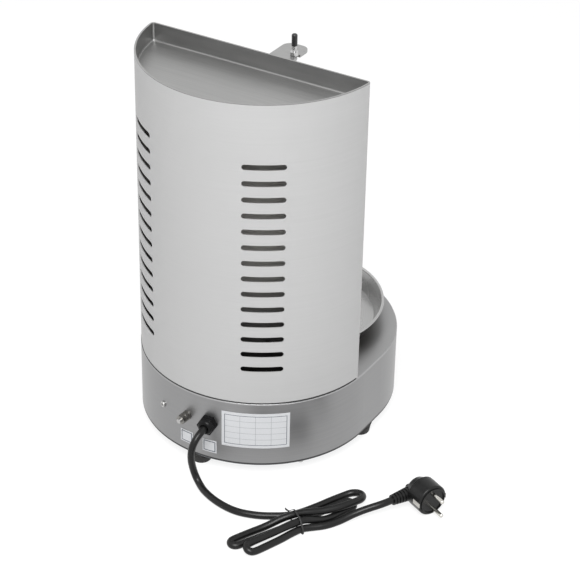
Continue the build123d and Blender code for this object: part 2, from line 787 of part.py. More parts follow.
# Indicator lamp
holder = post(lamp_bezel_radius, wall_gap, wall_gap + lamp_bezel) + post(lamp_radius, -lamp_depth, wall_gap)
parts["lamp_holder"] = lamp_place * holder
lens_low = wall_gap + lamp_bezel
lens = post(lamp_lens_radius, lens_low, lens_low + lamp_lens)
lens = fillet(lens.edges().group_by(Axis.Z)[-1], lamp_lens * 0.6)
parts["lamp_lens"] = lamp_place * lens

# Cable gland in the rear wall: body, dome nut and the locknut inside
cord_bore = cord_radius + hole_gap
hex_top = wall_gap + gland_hex
nose_top = hex_top + gland_nose
gland = hexagon(gland_across, wall_gap, hex_top)
gland += post(gland_thread_radius, -gland_thread, wall_gap) + post(gland_nose_radius, hex_top, nose_top)
gland -= post(cord_bore, -gland_thread - 1, nose_top + 1)
parts["gland_body"] = gland_place * gland
dome_top = hex_top + gland_dome
dome_hex_top = hex_top + gland_dome_hex
dome_skirt = gland_across / 2 - 0.5
dome = hexagon(gland_across, hex_top, dome_hex_top)
dome_height = dome_top - dome_hex_top
dome += Pos(0, 0, dome_hex_top) * Cone(dome_skirt, gland_mouth_radius, dome_height, align=STANDING)
dome -= post(gland_nose_radius + thread_gap, hex_top - 1, nose_top + thread_gap)
dome -= post(cord_bore, hex_top - 1, dome_top + 1)
parts["gland_dome"] = gland_place * dome
locknut_top = -base_sheet - locknut_back
locknut = hexagon(locknut_across, locknut_top - locknut_height, locknut_top)
locknut -= post(gland_thread_radius + thread_gap, locknut_top - locknut_height - 1, locknut_top + 1)
parts["gland_locknut"] = gland_place * locknut

# Earth stud through the rear wall, with two nuts and two washers
stud_head_top = -base_sheet - seat_gap
stud_washers = []
stud_nuts = []
stack = wall_gap + hole_gap
for _ in range(2):
    washer_top = stack + stud_washer
    washer = post(stud_washer_radius, stack, washer_top)
    stud_washers.append(stud_place * (washer - post(stud_radius + thread_gap, 0, stud_reach)))
    nut = hexagon(stud_nut_across, washer_top, washer_top + stud_nut)
    stud_nuts.append(stud_place * (nut - post(stud_radius + thread_gap, 0, stud_reach)))
    stack = washer_top + stud_nut
parts["earth_nuts"] = Compound(stud_washers + stud_nuts)
stud_shoulder = stack + seat_gap
stud = post(stud_radius, stud_head_top, stud_shoulder) + post(stud_tip_radius, stud_shoulder, stud_reach)
stud += hexagon(stud_nut_across, stud_head_top - stud_head, stud_head_top)
parts["earth_stud"] = stud_place * stud

# Terminal block on a plate inside the rear wall, held by the small rear screw
plate_front = -base_sheet - terminal_plate_back
plate_back = plate_front - terminal_plate_sheet
terminal = block(terminal_plate, terminal_plate_height, plate_back, plate_front)
terminal -= post(screw_radius + thread_gap, plate_back - 1, plate_front + 1)
parts["terminal_plate"] = screw_place * terminal
block_back = plate_back - terminal_block_depth
terminal_middle = -(terminal_plate_height - terminal_block_height) / 2
strip = block(terminal_block_width, terminal_block_height, block_back, plate_back)
way = terminal_block_width / terminal_ways
for i in range(terminal_ways):
    x = (i - (terminal_ways - 1) / 2) * way
    strip -= Pos(x, 0) * post(terminal_screw_radius, block_back - 1, block_back + terminal_block_depth / 2)
strip -= post(screw_radius + hole_gap, plate_back - screw_length, plate_back + 1)
parts["terminal_block"] = screw_place * strip
rear_screw = Pos(0, 0, wall_gap) * screw(screw_radius, screw_head_radius, screw_head_height, screw_length)
parts["rear_screw"] = screw_place * rear_screw

# Rubber grommets for the element leads in the drum's top
grommet = post(grommet_radius, base_top, base_top + grommet_lip)
grommet += post(grommet_radius - grommet_groove - thread_gap, shell_underside, base_top)
grommet += post(grommet_radius, shell_underside - grommet_lip, shell_underside)
grommet -= post(grommet_bore, shell_underside - grommet_lip - 1, base_top + grommet_lip + 1)
parts["wire_grommets"] = Compound([Pos(p.X, p.Y) * grommet for p in grommet_places])


def wall_label(angle, level, width, height):
    """Thin plate bent round the rear wall."""
    low_radius = base_radius + label_gap
    span = math.degrees(width / base_radius)
    section = Plane.YZ * Pos(low_radius + label_sheet / 2, level) * Rectangle(label_sheet, height)
    return Pos(0, rear_y) * Rot(0, 0, angle - span / 2) * revolve(section, Axis.Z, span)


# Blank plates on the rear wall
parts["rating_plate"] = wall_label(rating_angle, fitting_level - rating_drop, rating_width, rating_height)
parts["stickers"] = Compound(
    [
        wall_label(angle, fitting_level - drop, sticker_width, sticker_height)
        for angle, drop in zip(sticker_angles, sticker_drops)
    ]
)

# Cord lead from the gland to the hank: straight runs joined by arcs as large as the runs allow
gland_start = (gland_place * Pos(0, 0, cord_gland_start)).position
gland_exit = (gland_place * Pos(0, 0, cord_gland_run)).position
route = [gland_start, gland_exit] + [Vector(*p) for p in lead_points]
bends = []
for before, here, after in zip(route, route[1:], route[2:]):
    turn = math.radians((here - before).get_angle(after - here))
    shorter = min((here - before).length, (after - here).length)
    bends.append(bend_share * shorter / math.tan(turn / 2))
print("lead bend radii", [round(b, 1) for b in bends])
lead_path = FilletPolyline(*route, radius=bends)
lead_start = Plane(origin=lead_path @ 0, z_dir=lead_path % 0)
lead = sweep(lead_start * Circle(cord_radius), lead_path)
parts["cord_lead"] = lead


def biarc(start, heading, end, arrival):
    """Two tangent arcs from one point and heading to another."""
    span = end - start
    both = heading + arrival
    spread = 2 * (1 - heading.dot(arrival))
    if spread < 1e-9:
        reach = span.dot(span) / (4 * span.dot(heading))
    else:
        reach = (-span.dot(both) + math.sqrt(span.dot(both) ** 2 + spread * span.dot(span))) / spread
    middle = (start + end + (heading - arrival) * reach) / 2
    chord = middle - start
    turned = chord * (2 * chord.dot(heading) / chord.dot(chord)) - heading
    pieces = []
    for a, b, way in ((start, middle, heading), (middle, end, turned)):
        if way.get_angle(b - a) < 0.01:
            pieces.append(Line(a, b))
        else:
            pieces.append(TangentArc(a, b, tangent=way))
    return pieces


# Hank: the cord runs through the tie five times, with two loops at each end
floor_z = cord_radius + cord_float
waist_z = floor_z + tie_sheet + seat_gap
upper_z = waist_z + cord_diameter + seat_gap
hank_plane = Plane(
    origin=(hank_x, hank_y, 0),
    x_dir=(math.cos(math.radians(hank_turn)), math.sin(math.radians(hank_turn)), 0),
)
entry = hank_plane.to_local_coords(route[-1])
entry_way = (entry - hank_plane.to_local_coords(route[-2])).normalized()
plug_z = plug_radius
relief_z = plug_z - relief_drop
relief_y = plug_side + plug_depth + plug_shoulder
tail_x = plug_reach - plug_neck_radius - relief_length
hank_stations = [
    (entry + entry_way * cord_diameter, entry_way),
    (Vector(2, 17, waist_z), Vector(0.97, -0.24, 0)),
    (Vector(40, 17.6, floor_z), Vector(1, 0.1, 0)),
    (Vector(76, 20.5, floor_z), Vector(1, 0, 0)),
    (Vector(94, 4.5, 9.2), Vector(0, -1, 0.25)),
    (Vector(76, -11, 14.0), Vector(-1, 0, 0.02)),
    (Vector(30, 1.5, upper_z), Vector(-1, 0.22, 0)),
    (Vector(0, 4.7, upper_z), Vector(-1, 0.1, 0)),
    (Vector(-58, 21, 9.4), Vector(-1, 0, -0.1)),
    (Vector(-78, 12, 5.1), Vector(0, -1, -0.05)),
    (Vector(-58, 3, floor_z), Vector(1, 0, 0)),
    (Vector(0, 0, waist_z), Vector(1, 0, 0)),
    (Vector(52, 8.7, floor_z), Vector(1, 0, 0)),
    (Vector(63, -0.6, floor_z), Vector(0, -1, 0)),
    (Vector(52, -10, floor_z), Vector(-1, 0, 0)),
    (Vector(20, -7.6, 10.4), Vector(-1, 0.17, 0.32)),
    (Vector(0, -4.7, upper_z), Vector(-1, 0.05, 0.02)),
    (Vector(-50, -4.6, 10.8), Vector(-1, 0, -0.1)),
    (Vector(-70, -13.8, 5.5), Vector(0, -1, -0.15)),
    (Vector(-52, -23, floor_z), Vector(1, 0, 0)),
    (Vector(0, -9.6, waist_z), Vector(1, -0.12, 0)),
    (Vector(30, -19.4, floor_z), Vector(1, -0.18, 0)),
    (Vector(62, -22, 7.6), Vector(0.97, -0.14, 0.2)),
    (Vector(tail_x - cord_diameter, relief_y, relief_z), Vector(1, 0, 0)),
]
hank_edges = [Line(entry, hank_stations[0][0])]
for (start, heading), (end, arrival) in zip(hank_stations, hank_stations[1:]):
    hank_edges += biarc(start, heading.normalized(), end, arrival.normalized())
hank_edges.append(Line(hank_stations[-1][0], Vector(tail_x, relief_y, relief_z)))
hank_path = Wire([edge.edge() for edge in hank_edges])
hank_start = Plane(origin=entry, z_dir=entry_way)
hank = sweep(hank_start * Circle(cord_radius), hank_path)
parts["cord_hank"] = hank_plane * hank

# Least gap of the hank to itself, on points along its middle line
sample_step = 2.0
samples = []
travelled = 0.0
for edge in hank_edges:
    count = max(2, round(edge.length / sample_step))
    samples += [(travelled + edge.length * i / count, edge @ (i / count)) for i in range(count)]
    travelled += edge.length
least_gap = min(
    (p - q).length - cord_diameter
    for i, (s, p) in enumerate(samples)
    for t, q in samples[i + 1:]
    if t - s > 4 * cord_diameter
)
tightest = min(edge.radius for edge in hank_edges if edge.geom_type == GeomType.CIRCLE)
print("hank least gap", round(least_gap, 2), "tightest bend", round(tightest, 1))
section = math.pi * cord_radius**2
print("cord length", round(lead_path.length + travelled, 1))
print("lead volume share", round(lead.volume / (section * lead_path.length), 4))
print("hank volume share", round(hank.volume / (section * travelled), 4))

# Twist tie: a thin band round the hank's waist
tie_outline = [
    (23.0, cord_float),
    (23.0, 9.5),
    (9.5, upper_z + cord_radius + seat_gap + tie_sheet),
    (-9.5, upper_z + cord_radius + seat_gap + tie_sheet),
    (-15.4, 10.0),
    (-15.4, cord_float),
]
tie_face = fillet(make_face(Polyline(*tie_outline, close=True)).vertices(), tie_corner)
tie_face -= offset(tie_face, -tie_sheet)
tie_band = extrude(Plane.YZ * tie_face, tie_width / 2, both=True)
parts["cord_tie"] = hank_plane * (Pos(tie_shift, 0, 0) * tie_band)

# Angled plug lying on its side: moulded body with ribbed relief, two pins, two earth strips
relief_place = Pos(tail_x, relief_y, relief_z) * Rot(0, 90, 0)
plug_place = Pos(plug_reach, plug_side, plug_z) * Rot(-90, 0, 0)
plug = post(plug_radius, 0, plug_depth)
plug = fillet(plug.edges().group_by(Axis.Z)[0], plug_edge)
plug += Pos(0, 0, plug_depth) * Cone(plug_radius, plug_shoulder_radius, plug_shoulder + 4, align=STANDING)
plug = plug_place * plug
plug += relief_place * post(plug_neck_radius, relief_length, relief_length + plug_neck_radius)
relief_taper = (relief_end_radius - relief_radius) / relief_length
relief = Cone(relief_radius, relief_end_radius, relief_length, align=STANDING)
rib_pitch = relief_length / (relief_ribs + 1)
for i in range(relief_ribs):
    z = (i + 0.7) * rib_pitch
    radius = relief_radius + relief_taper * z
    ring = post(radius + relief_groove, z, z + rib_pitch * 0.4)
    relief -= ring - post(radius - relief_groove, z - 1, z + rib_pitch)
plug += relief_place * relief
earth_strips = []
for side in (-1, 1):
    place = plug_place * Pos(side * (plug_radius + seat_gap), 0, plug_depth * 0.3)
    pocket = Box(3 * clip_strip_sheet, clip_strip_width + 1, clip_strip_length + 1)
    plug -= place * pocket
    strip_bar = Pos(-side * clip_strip_sheet, 0, 0) * Box(clip_strip_sheet, clip_strip_width, clip_strip_length)
    earth_strips.append(hank_plane * (place * strip_bar))
parts["plug_body"] = hank_plane * plug
parts["plug_earth_strips"] = Compound(earth_strips)
pin_places = [Pos(plug_reach, plug_side, plug_z + s * pin_spacing / 2) * Rot(90, 0, 0) for s in (-1, 1)]
pin = post(pin_radius, 0, pin_length)
pin = fillet(pin.edges().group_by(Axis.Z)[-1], pin_radius * 0.7)
parts["plug_pins"] = Compound([hank_plane * (p * pin) for p in pin_places])

os.makedirs("parts", exist_ok=True)
for name, shape in parts.items():
    export_step(shape, os.path.join("parts", name + ".step"))
print(len(parts), "nodes")
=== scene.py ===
import math
import bpy
from mathutils import Matrix, Vector


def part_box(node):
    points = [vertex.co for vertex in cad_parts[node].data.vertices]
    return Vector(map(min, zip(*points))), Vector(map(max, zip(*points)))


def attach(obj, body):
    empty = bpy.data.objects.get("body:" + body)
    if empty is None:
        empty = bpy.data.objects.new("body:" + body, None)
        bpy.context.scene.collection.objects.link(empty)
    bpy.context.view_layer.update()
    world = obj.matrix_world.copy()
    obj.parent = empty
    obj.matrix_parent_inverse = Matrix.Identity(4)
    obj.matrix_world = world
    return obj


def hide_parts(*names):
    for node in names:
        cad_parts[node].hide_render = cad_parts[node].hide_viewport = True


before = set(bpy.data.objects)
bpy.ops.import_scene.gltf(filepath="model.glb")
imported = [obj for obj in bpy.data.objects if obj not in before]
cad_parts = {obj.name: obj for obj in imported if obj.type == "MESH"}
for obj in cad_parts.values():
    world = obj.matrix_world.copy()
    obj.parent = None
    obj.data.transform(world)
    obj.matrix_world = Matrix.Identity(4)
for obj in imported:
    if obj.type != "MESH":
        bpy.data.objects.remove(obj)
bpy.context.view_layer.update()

bpy.context.scene.view_settings.view_transform = "Standard"


# Base shell
# The oval base that everything stands on: a skin of brushed stainless steel,
# welded at one seam and folded in at the top. The brush marks run round the wall.
def tone(red, green, blue):
    """A colour as it shows on a screen, 0 to 255, turned into shader values."""
    shares = [part / 255 for part in (red, green, blue)]
    linear = [part / 12.92 if part <= 0.04045 else ((part + 0.055) / 1.055) ** 2.4 for part in shares]
    return (*linear, 1.0)


def add(tree, kind, values=None, **settings):
    """One node with its settings and its unlinked socket values."""
    made = tree.nodes.new(kind)
    for key, value in settings.items():
        setattr(made, key, value)
    for key, value in (values or {}).items():
        made.inputs[key].default_value = value
    return made


def range_of(tree, source, low, high):
    """A value from 0 to 1 spread between two ends."""
    made = add(tree, "ShaderNodeMapRange", {"To Min": low, "To Max": high})
    tree.links.new(source, made.inputs["Value"])
    return made.outputs["Result"]


def blend_colour(tree, share, first, second, way="MIX"):
    """Two colours mixed by a share; a colour is a socket or a fixed value."""
    made = add(tree, "ShaderNodeMix", data_type="RGBA", blend_type=way)
    for end, value in ((made.inputs[0], share), (made.inputs[6], first), (made.inputs[7], second)):
        if isinstance(value, bpy.types.NodeSocket):
            tree.links.new(value, end)
        else:
            end.default_value = value
    return made.outputs[2]


def shader_of(material):
    """The Principled shader of a node material."""
    return material.node_tree.nodes["Principled BSDF"]


def new_finish(name):
    """A node material, its tree and its Principled shader."""
    material = bpy.data.materials.new(name)
    material.use_nodes = True
    return material, material.node_tree, shader_of(material)


def paint_over(material):
    """A finish's tree, its shader and the colour that it has so far."""
    shader = shader_of(material)
    return material.node_tree, shader, shader.inputs["Base Color"].links[0].from_socket


def dress(node, material):
    """Gives a carried-over solid its finish."""
    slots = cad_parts[node].data.materials
    slots.clear()
    slots.append(material)


grain_group = bpy.data.node_groups.new("brush_marks", "ShaderNodeTree")
grain_group.interface.new_socket("Stretch", in_out="INPUT", socket_type="NodeSocketVector")
grain_group.interface.new_socket("Cloud Scale", in_out="INPUT", socket_type="NodeSocketFloat")
grain_group.interface.new_socket("Streak", in_out="OUTPUT", socket_type="NodeSocketFloat")
grain_group.interface.new_socket("Cloud", in_out="OUTPUT", socket_type="NodeSocketFloat")
way_in = add(grain_group, "NodeGroupInput")
way_out = add(grain_group, "NodeGroupOutput")
place = add(grain_group, "ShaderNodeTexCoord")
stretched = add(grain_group, "ShaderNodeVectorMath", operation="MULTIPLY")
streaks = add(grain_group, "ShaderNodeTexNoise", {"Scale": 1.0, "Detail": 4.0, "Roughness": 0.65})
clouds = add(grain_group, "ShaderNodeTexNoise", {"Detail": 3.0, "Roughness": 0.55})
for source, target in (
    (place.outputs["Object"], stretched.inputs[0]),
    (way_in.outputs["Stretch"], stretched.inputs[1]),
    (stretched.outputs[0], streaks.inputs["Vector"]),
    (place.outputs["Object"], clouds.inputs["Vector"]),
    (way_in.outputs["Cloud Scale"], clouds.inputs["Scale"]),
    (streaks.outputs["Fac"], way_out.inputs["Streak"]),
    (clouds.outputs["Fac"], way_out.inputs["Cloud"]),
):
    grain_group.links.new(source, target)


def brushed(name, dark, light, rough, stretch, metal=1.0, cloud=0.06, cloud_scale=9.0, depth=0.00003):
    """Brushed sheet metal: fine streaks, a faint cloudiness and uneven gloss."""
    material, tree, shader = new_finish(name)
    grain = add(tree, "ShaderNodeGroup", node_tree=grain_group)
    grain.inputs["Stretch"].default_value = stretch
    grain.inputs["Cloud Scale"].default_value = cloud_scale
    colour = blend_colour(tree, range_of(tree, grain.outputs["Streak"], -0.3, 1.3), dark, light)
    shading = range_of(tree, grain.outputs["Cloud"], 1.0 - 2 * cloud, 1.0 + 2 * cloud)
    colour = blend_colour(tree, 1.0, colour, shading, "MULTIPLY")
    tree.links.new(colour, shader.inputs["Base Color"])
    gloss = add(tree, "ShaderNodeMath", operation="ADD")
    tree.links.new(range_of(tree, grain.outputs["Streak"], rough - 0.06, rough + 0.06), gloss.inputs[0])
    tree.links.new(range_of(tree, grain.outputs["Cloud"], -0.05, 0.05), gloss.inputs[1])
    tree.links.new(gloss.outputs[0], shader.inputs["Roughness"])
    shader.inputs["Metallic"].default_value = metal
    relief = add(tree, "ShaderNodeBump", {"Strength": 0.35, "Distance": depth})
    tree.links.new(grain.outputs["Streak"], relief.inputs["Height"])
    tree.links.new(relief.outputs["Normal"], shader.inputs["Normal"])
    return material


def edge_bands(material, bands):
    """Makes a sheet lighter or darker in level bands: each is low, high, soft edge and factor."""
    tree, shader, colour = paint_over(material)
    place = add(tree, "ShaderNodeTexCoord")
    axes = add(tree, "ShaderNodeSeparateXYZ")
    tree.links.new(place.outputs["Object"], axes.inputs[0])
    for low, high, soft, factor in bands:
        rise = add(tree, "ShaderNodeMapRange", {"From Min": low - soft, "From Max": low + soft})
        fall = add(tree, "ShaderNodeMapRange", {"From Min": high - soft, "From Max": high + soft})
        fall.inputs["To Min"].default_value = 1.0
        fall.inputs["To Max"].default_value = 0.0
        both = add(tree, "ShaderNodeMath", operation="MULTIPLY")
        for end, source in ((0, rise), (1, fall)):
            tree.links.new(axes.outputs["Z"], source.inputs["Value"])
            tree.links.new(source.outputs["Result"], both.inputs[end])
        changed = blend_colour(tree, 1.0, colour, (factor, factor, factor, 1), "MULTIPLY")
        colour = blend_colour(tree, both.outputs[0], colour, changed)
    tree.links.new(colour, shader.inputs["Base Color"])


def paint_shade_round(material, centre, level, inner, outer, front, rear, factor):
    """Paints shade on a sheet above a level, round a middle point: it fades between two radii and to the
    front.
    """
    tree, shader, colour = paint_over(material)
    place = add(tree, "ShaderNodeTexCoord")
    away = add(tree, "ShaderNodeVectorMath", operation="DISTANCE")
    flat = add(tree, "ShaderNodeVectorMath", operation="MULTIPLY")
    flat.inputs[1].default_value = (1.0, 1.0, 0.0)
    away.inputs[1].default_value = (centre[0], centre[1], 0.0)
    axes = add(tree, "ShaderNodeSeparateXYZ")
    tree.links.new(place.outputs["Object"], flat.inputs[0])
    tree.links.new(place.outputs["Object"], axes.inputs[0])
    tree.links.new(flat.outputs[0], away.inputs[0])
    near = add(
        tree, "ShaderNodeMapRange", {"From Min": inner, "From Max": outer, "To Min": 1.0, "To Max": 0.0},
        interpolation_type="SMOOTHSTEP",
    )
    high = add(tree, "ShaderNodeMath", {1: level}, operation="GREATER_THAN")
    both = add(tree, "ShaderNodeMath", operation="MULTIPLY")
    tree.links.new(away.outputs["Value"], near.inputs["Value"])
    tree.links.new(axes.outputs["Z"], high.inputs[0])
    tree.links.new(near.outputs["Result"], both.inputs[0])
    tree.links.new(high.outputs[0], both.inputs[1])
    back = add(
        tree, "ShaderNodeMapRange", {"From Min": front, "From Max": rear, "To Min": 0.3},
        interpolation_type="SMOOTHSTEP",
    )
    share = add(tree, "ShaderNodeMath", operation="MULTIPLY")
    tree.links.new(axes.outputs["Y"], back.inputs["Value"])
    tree.links.new(both.outputs[0], share.inputs[0])
    tree.links.new(back.outputs["Result"], share.inputs[1])
    dark = blend_colour(tree, 1.0, colour, (factor, factor, factor * 0.97, 1), "MULTIPLY")
    tree.links.new(blend_colour(tree, share.outputs[0], colour, dark), shader.inputs["Base Color"])


base_steel = brushed(
    "base_steel", tone(139, 139, 140), tone(149, 149, 149), 0.38, (5, 5, 900), cloud=0.03, depth=0.00001
)
# Painted shade along the foot of the base, and painted highlights along the fold and the edge of the top.
painted_foot_shadow = (0.0, 0.0182, 0.0004, 0.22)
painted_fold_highlight = (0.1002, 0.1017, 0.0003, 1.4)
painted_top_highlight = (0.1017, 0.1100, 0.0001, 1.2)
edge_bands(base_steel, [painted_foot_shadow, painted_fold_highlight, painted_top_highlight])
spit_centre = (0.0, -0.045)
# Painted shade on the base's top just outside the drip pan, for the shadow and dark reflection under its
# rim.
paint_shade_round(
    base_steel, spit_centre, level=0.1015, inner=0.108, outer=0.131, front=-0.08, rear=-0.02, factor=0.32
)
dress("base_shell", base_steel)


# Bottom plate and inner sheet-metal brackets
# Pressed from zinc-coated sheet: the plate closes the base from below, and the
# brackets inside carry the motor, the wire terminals and the heating rods.
def spangled(name, dark, light, rough):
    """Zinc-coated sheet: small crystals of slightly different greys."""
    material, tree, shader = new_finish(name)
    place = add(tree, "ShaderNodeTexCoord")
    crystals = add(tree, "ShaderNodeTexVoronoi", {"Scale": 170.0, "Randomness": 1.0})
    mottle = add(tree, "ShaderNodeTexNoise", {"Scale": 45.0, "Detail": 4.0})
    for texture in (crystals, mottle):
        tree.links.new(place.outputs["Object"], texture.inputs["Vector"])
    mixed = add(tree, "ShaderNodeMath", operation="MULTIPLY")
    parts = add(tree, "ShaderNodeSeparateColor")
    tree.links.new(crystals.outputs["Color"], parts.inputs[0])
    tree.links.new(parts.outputs[0], mixed.inputs[0])
    tree.links.new(range_of(tree, mottle.outputs["Fac"], 0.6, 1.2), mixed.inputs[1])
    tree.links.new(blend_colour(tree, mixed.outputs[0], dark, light), shader.inputs["Base Color"])
    tree.links.new(range_of(tree, mixed.outputs[0], rough - 0.08, rough + 0.1), shader.inputs["Roughness"])
    shader.inputs["Metallic"].default_value = 1.0
    return material


zinc_steel = spangled("zinc_steel", tone(120, 124, 128), tone(172, 176, 180), 0.42)
for node in ("bottom_plate", "motor_bracket", "terminal_plate", "element_clips"):
    dress(node, zinc_steel)


# Screws, bolts, nuts and the earth stud
# Turned and rolled fasteners of plain bright steel, dulled a little by the
# plating and by the driver; they hold the sheets, the feet, the arm and the wires.
def plated(name, dark, light, rough, scale=260.0):
    """Plated small metal: a cloudy skin with fine scratches in its gloss."""
    material, tree, shader = new_finish(name)
    place = add(tree, "ShaderNodeTexCoord")
    skin = add(tree, "ShaderNodeTexNoise", {"Scale": scale, "Detail": 5.0, "Roughness": 0.6})
    tree.links.new(place.outputs["Object"], skin.inputs["Vector"])
    tree.links.new(blend_colour(tree, skin.outputs["Fac"], dark, light), shader.inputs["Base Color"])
    gloss = range_of(tree, skin.outputs["Fac"], rough - 0.12, rough + 0.12)
    tree.links.new(gloss, shader.inputs["Roughness"])
    shader.inputs["Metallic"].default_value = 1.0
    relief = add(tree, "ShaderNodeBump", {"Strength": 0.15, "Distance": 0.00004})
    tree.links.new(skin.outputs["Fac"], relief.inputs["Height"])
    tree.links.new(relief.outputs["Normal"], shader.inputs["Normal"])
    return material


screw_steel = plated("screw_steel", tone(150, 150, 150), tone(205, 204, 202), 0.3)
for node in (
    "bottom_plate_screws", "foot_fasteners", "motor_screws", "shield_screws", "reflector_screws",
    "rear_screw", "arm_bolts", "arm_nuts", "earth_stud", "thermostat_nut",
):
    dress(node, screw_steel)
# The earth nuts get a darker copy of the screw steel: painted shade.
shaded_nut_steel = plated("shaded_nut_steel", tone(104, 103, 100), tone(158, 156, 152), 0.34)
dress("earth_nuts", shaded_nut_steel)


# Rubber feet
# Four tapered buffers of black rubber with a rounded sole, a hollow for the
# bolt head and a groove below the rim; each is bolted up through the bottom plate.
def moulded(name, dark, light, rough, scale, depth):
    """Moulded plastic or rubber: a fine pebbled skin with slight wear."""
    material, tree, shader = new_finish(name)
    place = add(tree, "ShaderNodeTexCoord")
    pebble = add(tree, "ShaderNodeTexNoise", {"Scale": scale, "Detail": 2.0, "Roughness": 0.5})
    wear = add(tree, "ShaderNodeTexNoise", {"Scale": scale / 30, "Detail": 4.0})
    for texture in (pebble, wear):
        tree.links.new(place.outputs["Object"], texture.inputs["Vector"])
    colour = blend_colour(tree, range_of(tree, wear.outputs["Fac"], -0.2, 1.2), dark, light)
    tree.links.new(colour, shader.inputs["Base Color"])
    gloss = range_of(tree, wear.outputs["Fac"], rough - 0.08, rough + 0.1)
    tree.links.new(gloss, shader.inputs["Roughness"])
    relief = add(tree, "ShaderNodeBump", {"Strength": 0.5, "Distance": depth})
    tree.links.new(pebble.outputs["Fac"], relief.inputs["Height"])
    tree.links.new(relief.outputs["Normal"], shader.inputs["Normal"])
    return material


def complete(piece, name, material, body, sharp=35.0):
    """Puts a shaped piece's place in its mesh, smooths it and fixes it to its body."""
    bpy.ops.object.mode_set(mode="OBJECT")
    bpy.ops.object.select_all(action="DESELECT")
    piece.select_set(True)
    bpy.context.view_layer.objects.active = piece
    bpy.ops.object.transform_apply(location=True, rotation=True, scale=True)
    bpy.ops.object.shade_smooth_by_angle(angle=math.radians(sharp))
    piece.name = name
    piece.data.name = name
    piece.data.materials.clear()
    piece.data.materials.append(material)
    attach(piece, body)
    bpy.ops.object.select_all(action="DESELECT")


def turned(rings, sides=48, hollow=False):
    """A round piece drawn up ring by ring on the Z axis: each ring is a radius and a level."""
    radius, level = rings[0]
    bpy.ops.object.select_all(action="DESELECT")
    bpy.ops.mesh.primitive_circle_add(vertices=sides, radius=radius, location=(0, 0, 0), fill_type="NOTHING")
    piece = bpy.context.object
    bpy.ops.object.mode_set(mode="EDIT")
    bpy.ops.mesh.select_mode(type="VERT")
    bpy.ops.mesh.select_all(action="SELECT")
    bpy.ops.transform.translate(value=(0, 0, level))
    for (before, low), (after, high) in zip(rings, rings[1:]):
        bpy.ops.mesh.extrude_region_move(TRANSFORM_OT_translate={"value": (0, 0, high - low)})
        bpy.ops.transform.resize(value=(after / before, after / before, 1.0), center_override=(0, 0, high))
    bpy.ops.mesh.select_mode(type="EDGE")
    bpy.ops.mesh.select_all(action="DESELECT")
    bpy.ops.mesh.select_non_manifold()
    if hollow:
        bpy.ops.mesh.bridge_edge_loops()
    else:
        bpy.ops.mesh.fill_holes(sides=0)
    bpy.ops.mesh.select_all(action="SELECT")
    bpy.ops.mesh.normals_make_consistent(inside=False)
    bpy.ops.object.mode_set(mode="OBJECT")
    return piece


black_rubber = moulded("black_rubber", tone(22, 22, 22), tone(36, 35, 34), 0.68, 1500.0, 0.00006)
dress("wire_grommets", black_rubber)
foot_rings = [
    (0.0056, 0.0080), (0.0056, 0.0003), (0.0060, 0.0), (0.0104, 0.0), (0.0115, 0.0004), (0.0120, 0.0014),
    (0.0133, 0.0086), (0.0130, 0.0091), (0.0126, 0.0094), (0.0126, 0.0100), (0.0131, 0.0103),
    (0.0138, 0.0107), (0.0148, 0.0138), (0.0147, 0.0145), (0.0142, 0.0148), (0.0028, 0.0148),
    (0.0028, 0.0080),
]
pattern_foot = turned(foot_rings, 56, hollow=True)
for foot_name in ("rear", "front", "left", "right"):
    low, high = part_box("rubber_foot_" + foot_name)
    foot = bpy.data.objects.new("foot", pattern_foot.data.copy())
    bpy.context.collection.objects.link(foot)
    foot.location = ((low.x + high.x) / 2, (low.y + high.y) / 2, 0)
    bpy.context.view_layer.objects.active = foot
    complete(foot, "foot_" + foot_name, black_rubber, "frame", 40.0)
    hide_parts("rubber_foot_" + foot_name)
bpy.data.objects.remove(pattern_foot)


# Gear motor, drive shaft and bush
# A painted gear motor under the base's top turns the upright steel shaft, which
# runs in a sintered bronze bush pressed into the top.
motor_paint = moulded("motor_paint", tone(58, 60, 62), tone(84, 86, 88), 0.45, 700.0, 0.00005)
shader_of(motor_paint).inputs["Metallic"].default_value = 0.35
dress("gear_motor", motor_paint)
bush_bronze = plated("bush_bronze", tone(122, 88, 52), tone(176, 132, 84), 0.42, 480.0)
dress("shaft_bush", bush_bronze)
bright_steel = brushed(
    "bright_steel", tone(176, 176, 177), tone(214, 214, 213), 0.2, (500, 500, 40), cloud=0.04
)
for node in ("drive_shaft", "spit_rod", "spit_collar", "spit_ferrule", "lamp_holder", "thermostat_spindle"):
    dress(node, bright_steel)


# Terminal block
# A strip of white nylon with metal clamps inside, where the cord's wires meet
# the wires of the motor, the switch and the heating rods.
terminal_nylon = moulded("terminal_nylon", tone(214, 212, 204), tone(234, 232, 226), 0.45, 900.0, 0.00004)
dress("terminal_block", terminal_nylon)


# Rear shield and hood
# One sheet of satin stainless steel rolled to a half round, with two columns of
# pressed slots and its front edges folded in; the hood closes it under the tray.
shield_steel = brushed(
    "shield_steel", tone(169, 169, 169), tone(174, 174, 174), 0.46, (6, 6, 700),
    metal=0.15, cloud=0.012, depth=0.000006,
)
dress("rear_shield", shield_steel)
dress("hood_panel", shield_steel)


# Shadow-gap bead
# A thin near-black bead runs round the shield's foot, where the sheet
# stands on the edge of the base: painted shade for the shadow in the gap there.
# A near-black bead: painted shade for the shadow in the gap under the shield's foot.
shadow_gap_black = moulded("shadow_gap_black", tone(20, 20, 20), tone(32, 32, 32), 0.6, 900.0, 0.00005)
bead_thick = 0.0014
bead_reach = 0.1436
bead_level = 0.1026
bead_end = math.radians(7.0)
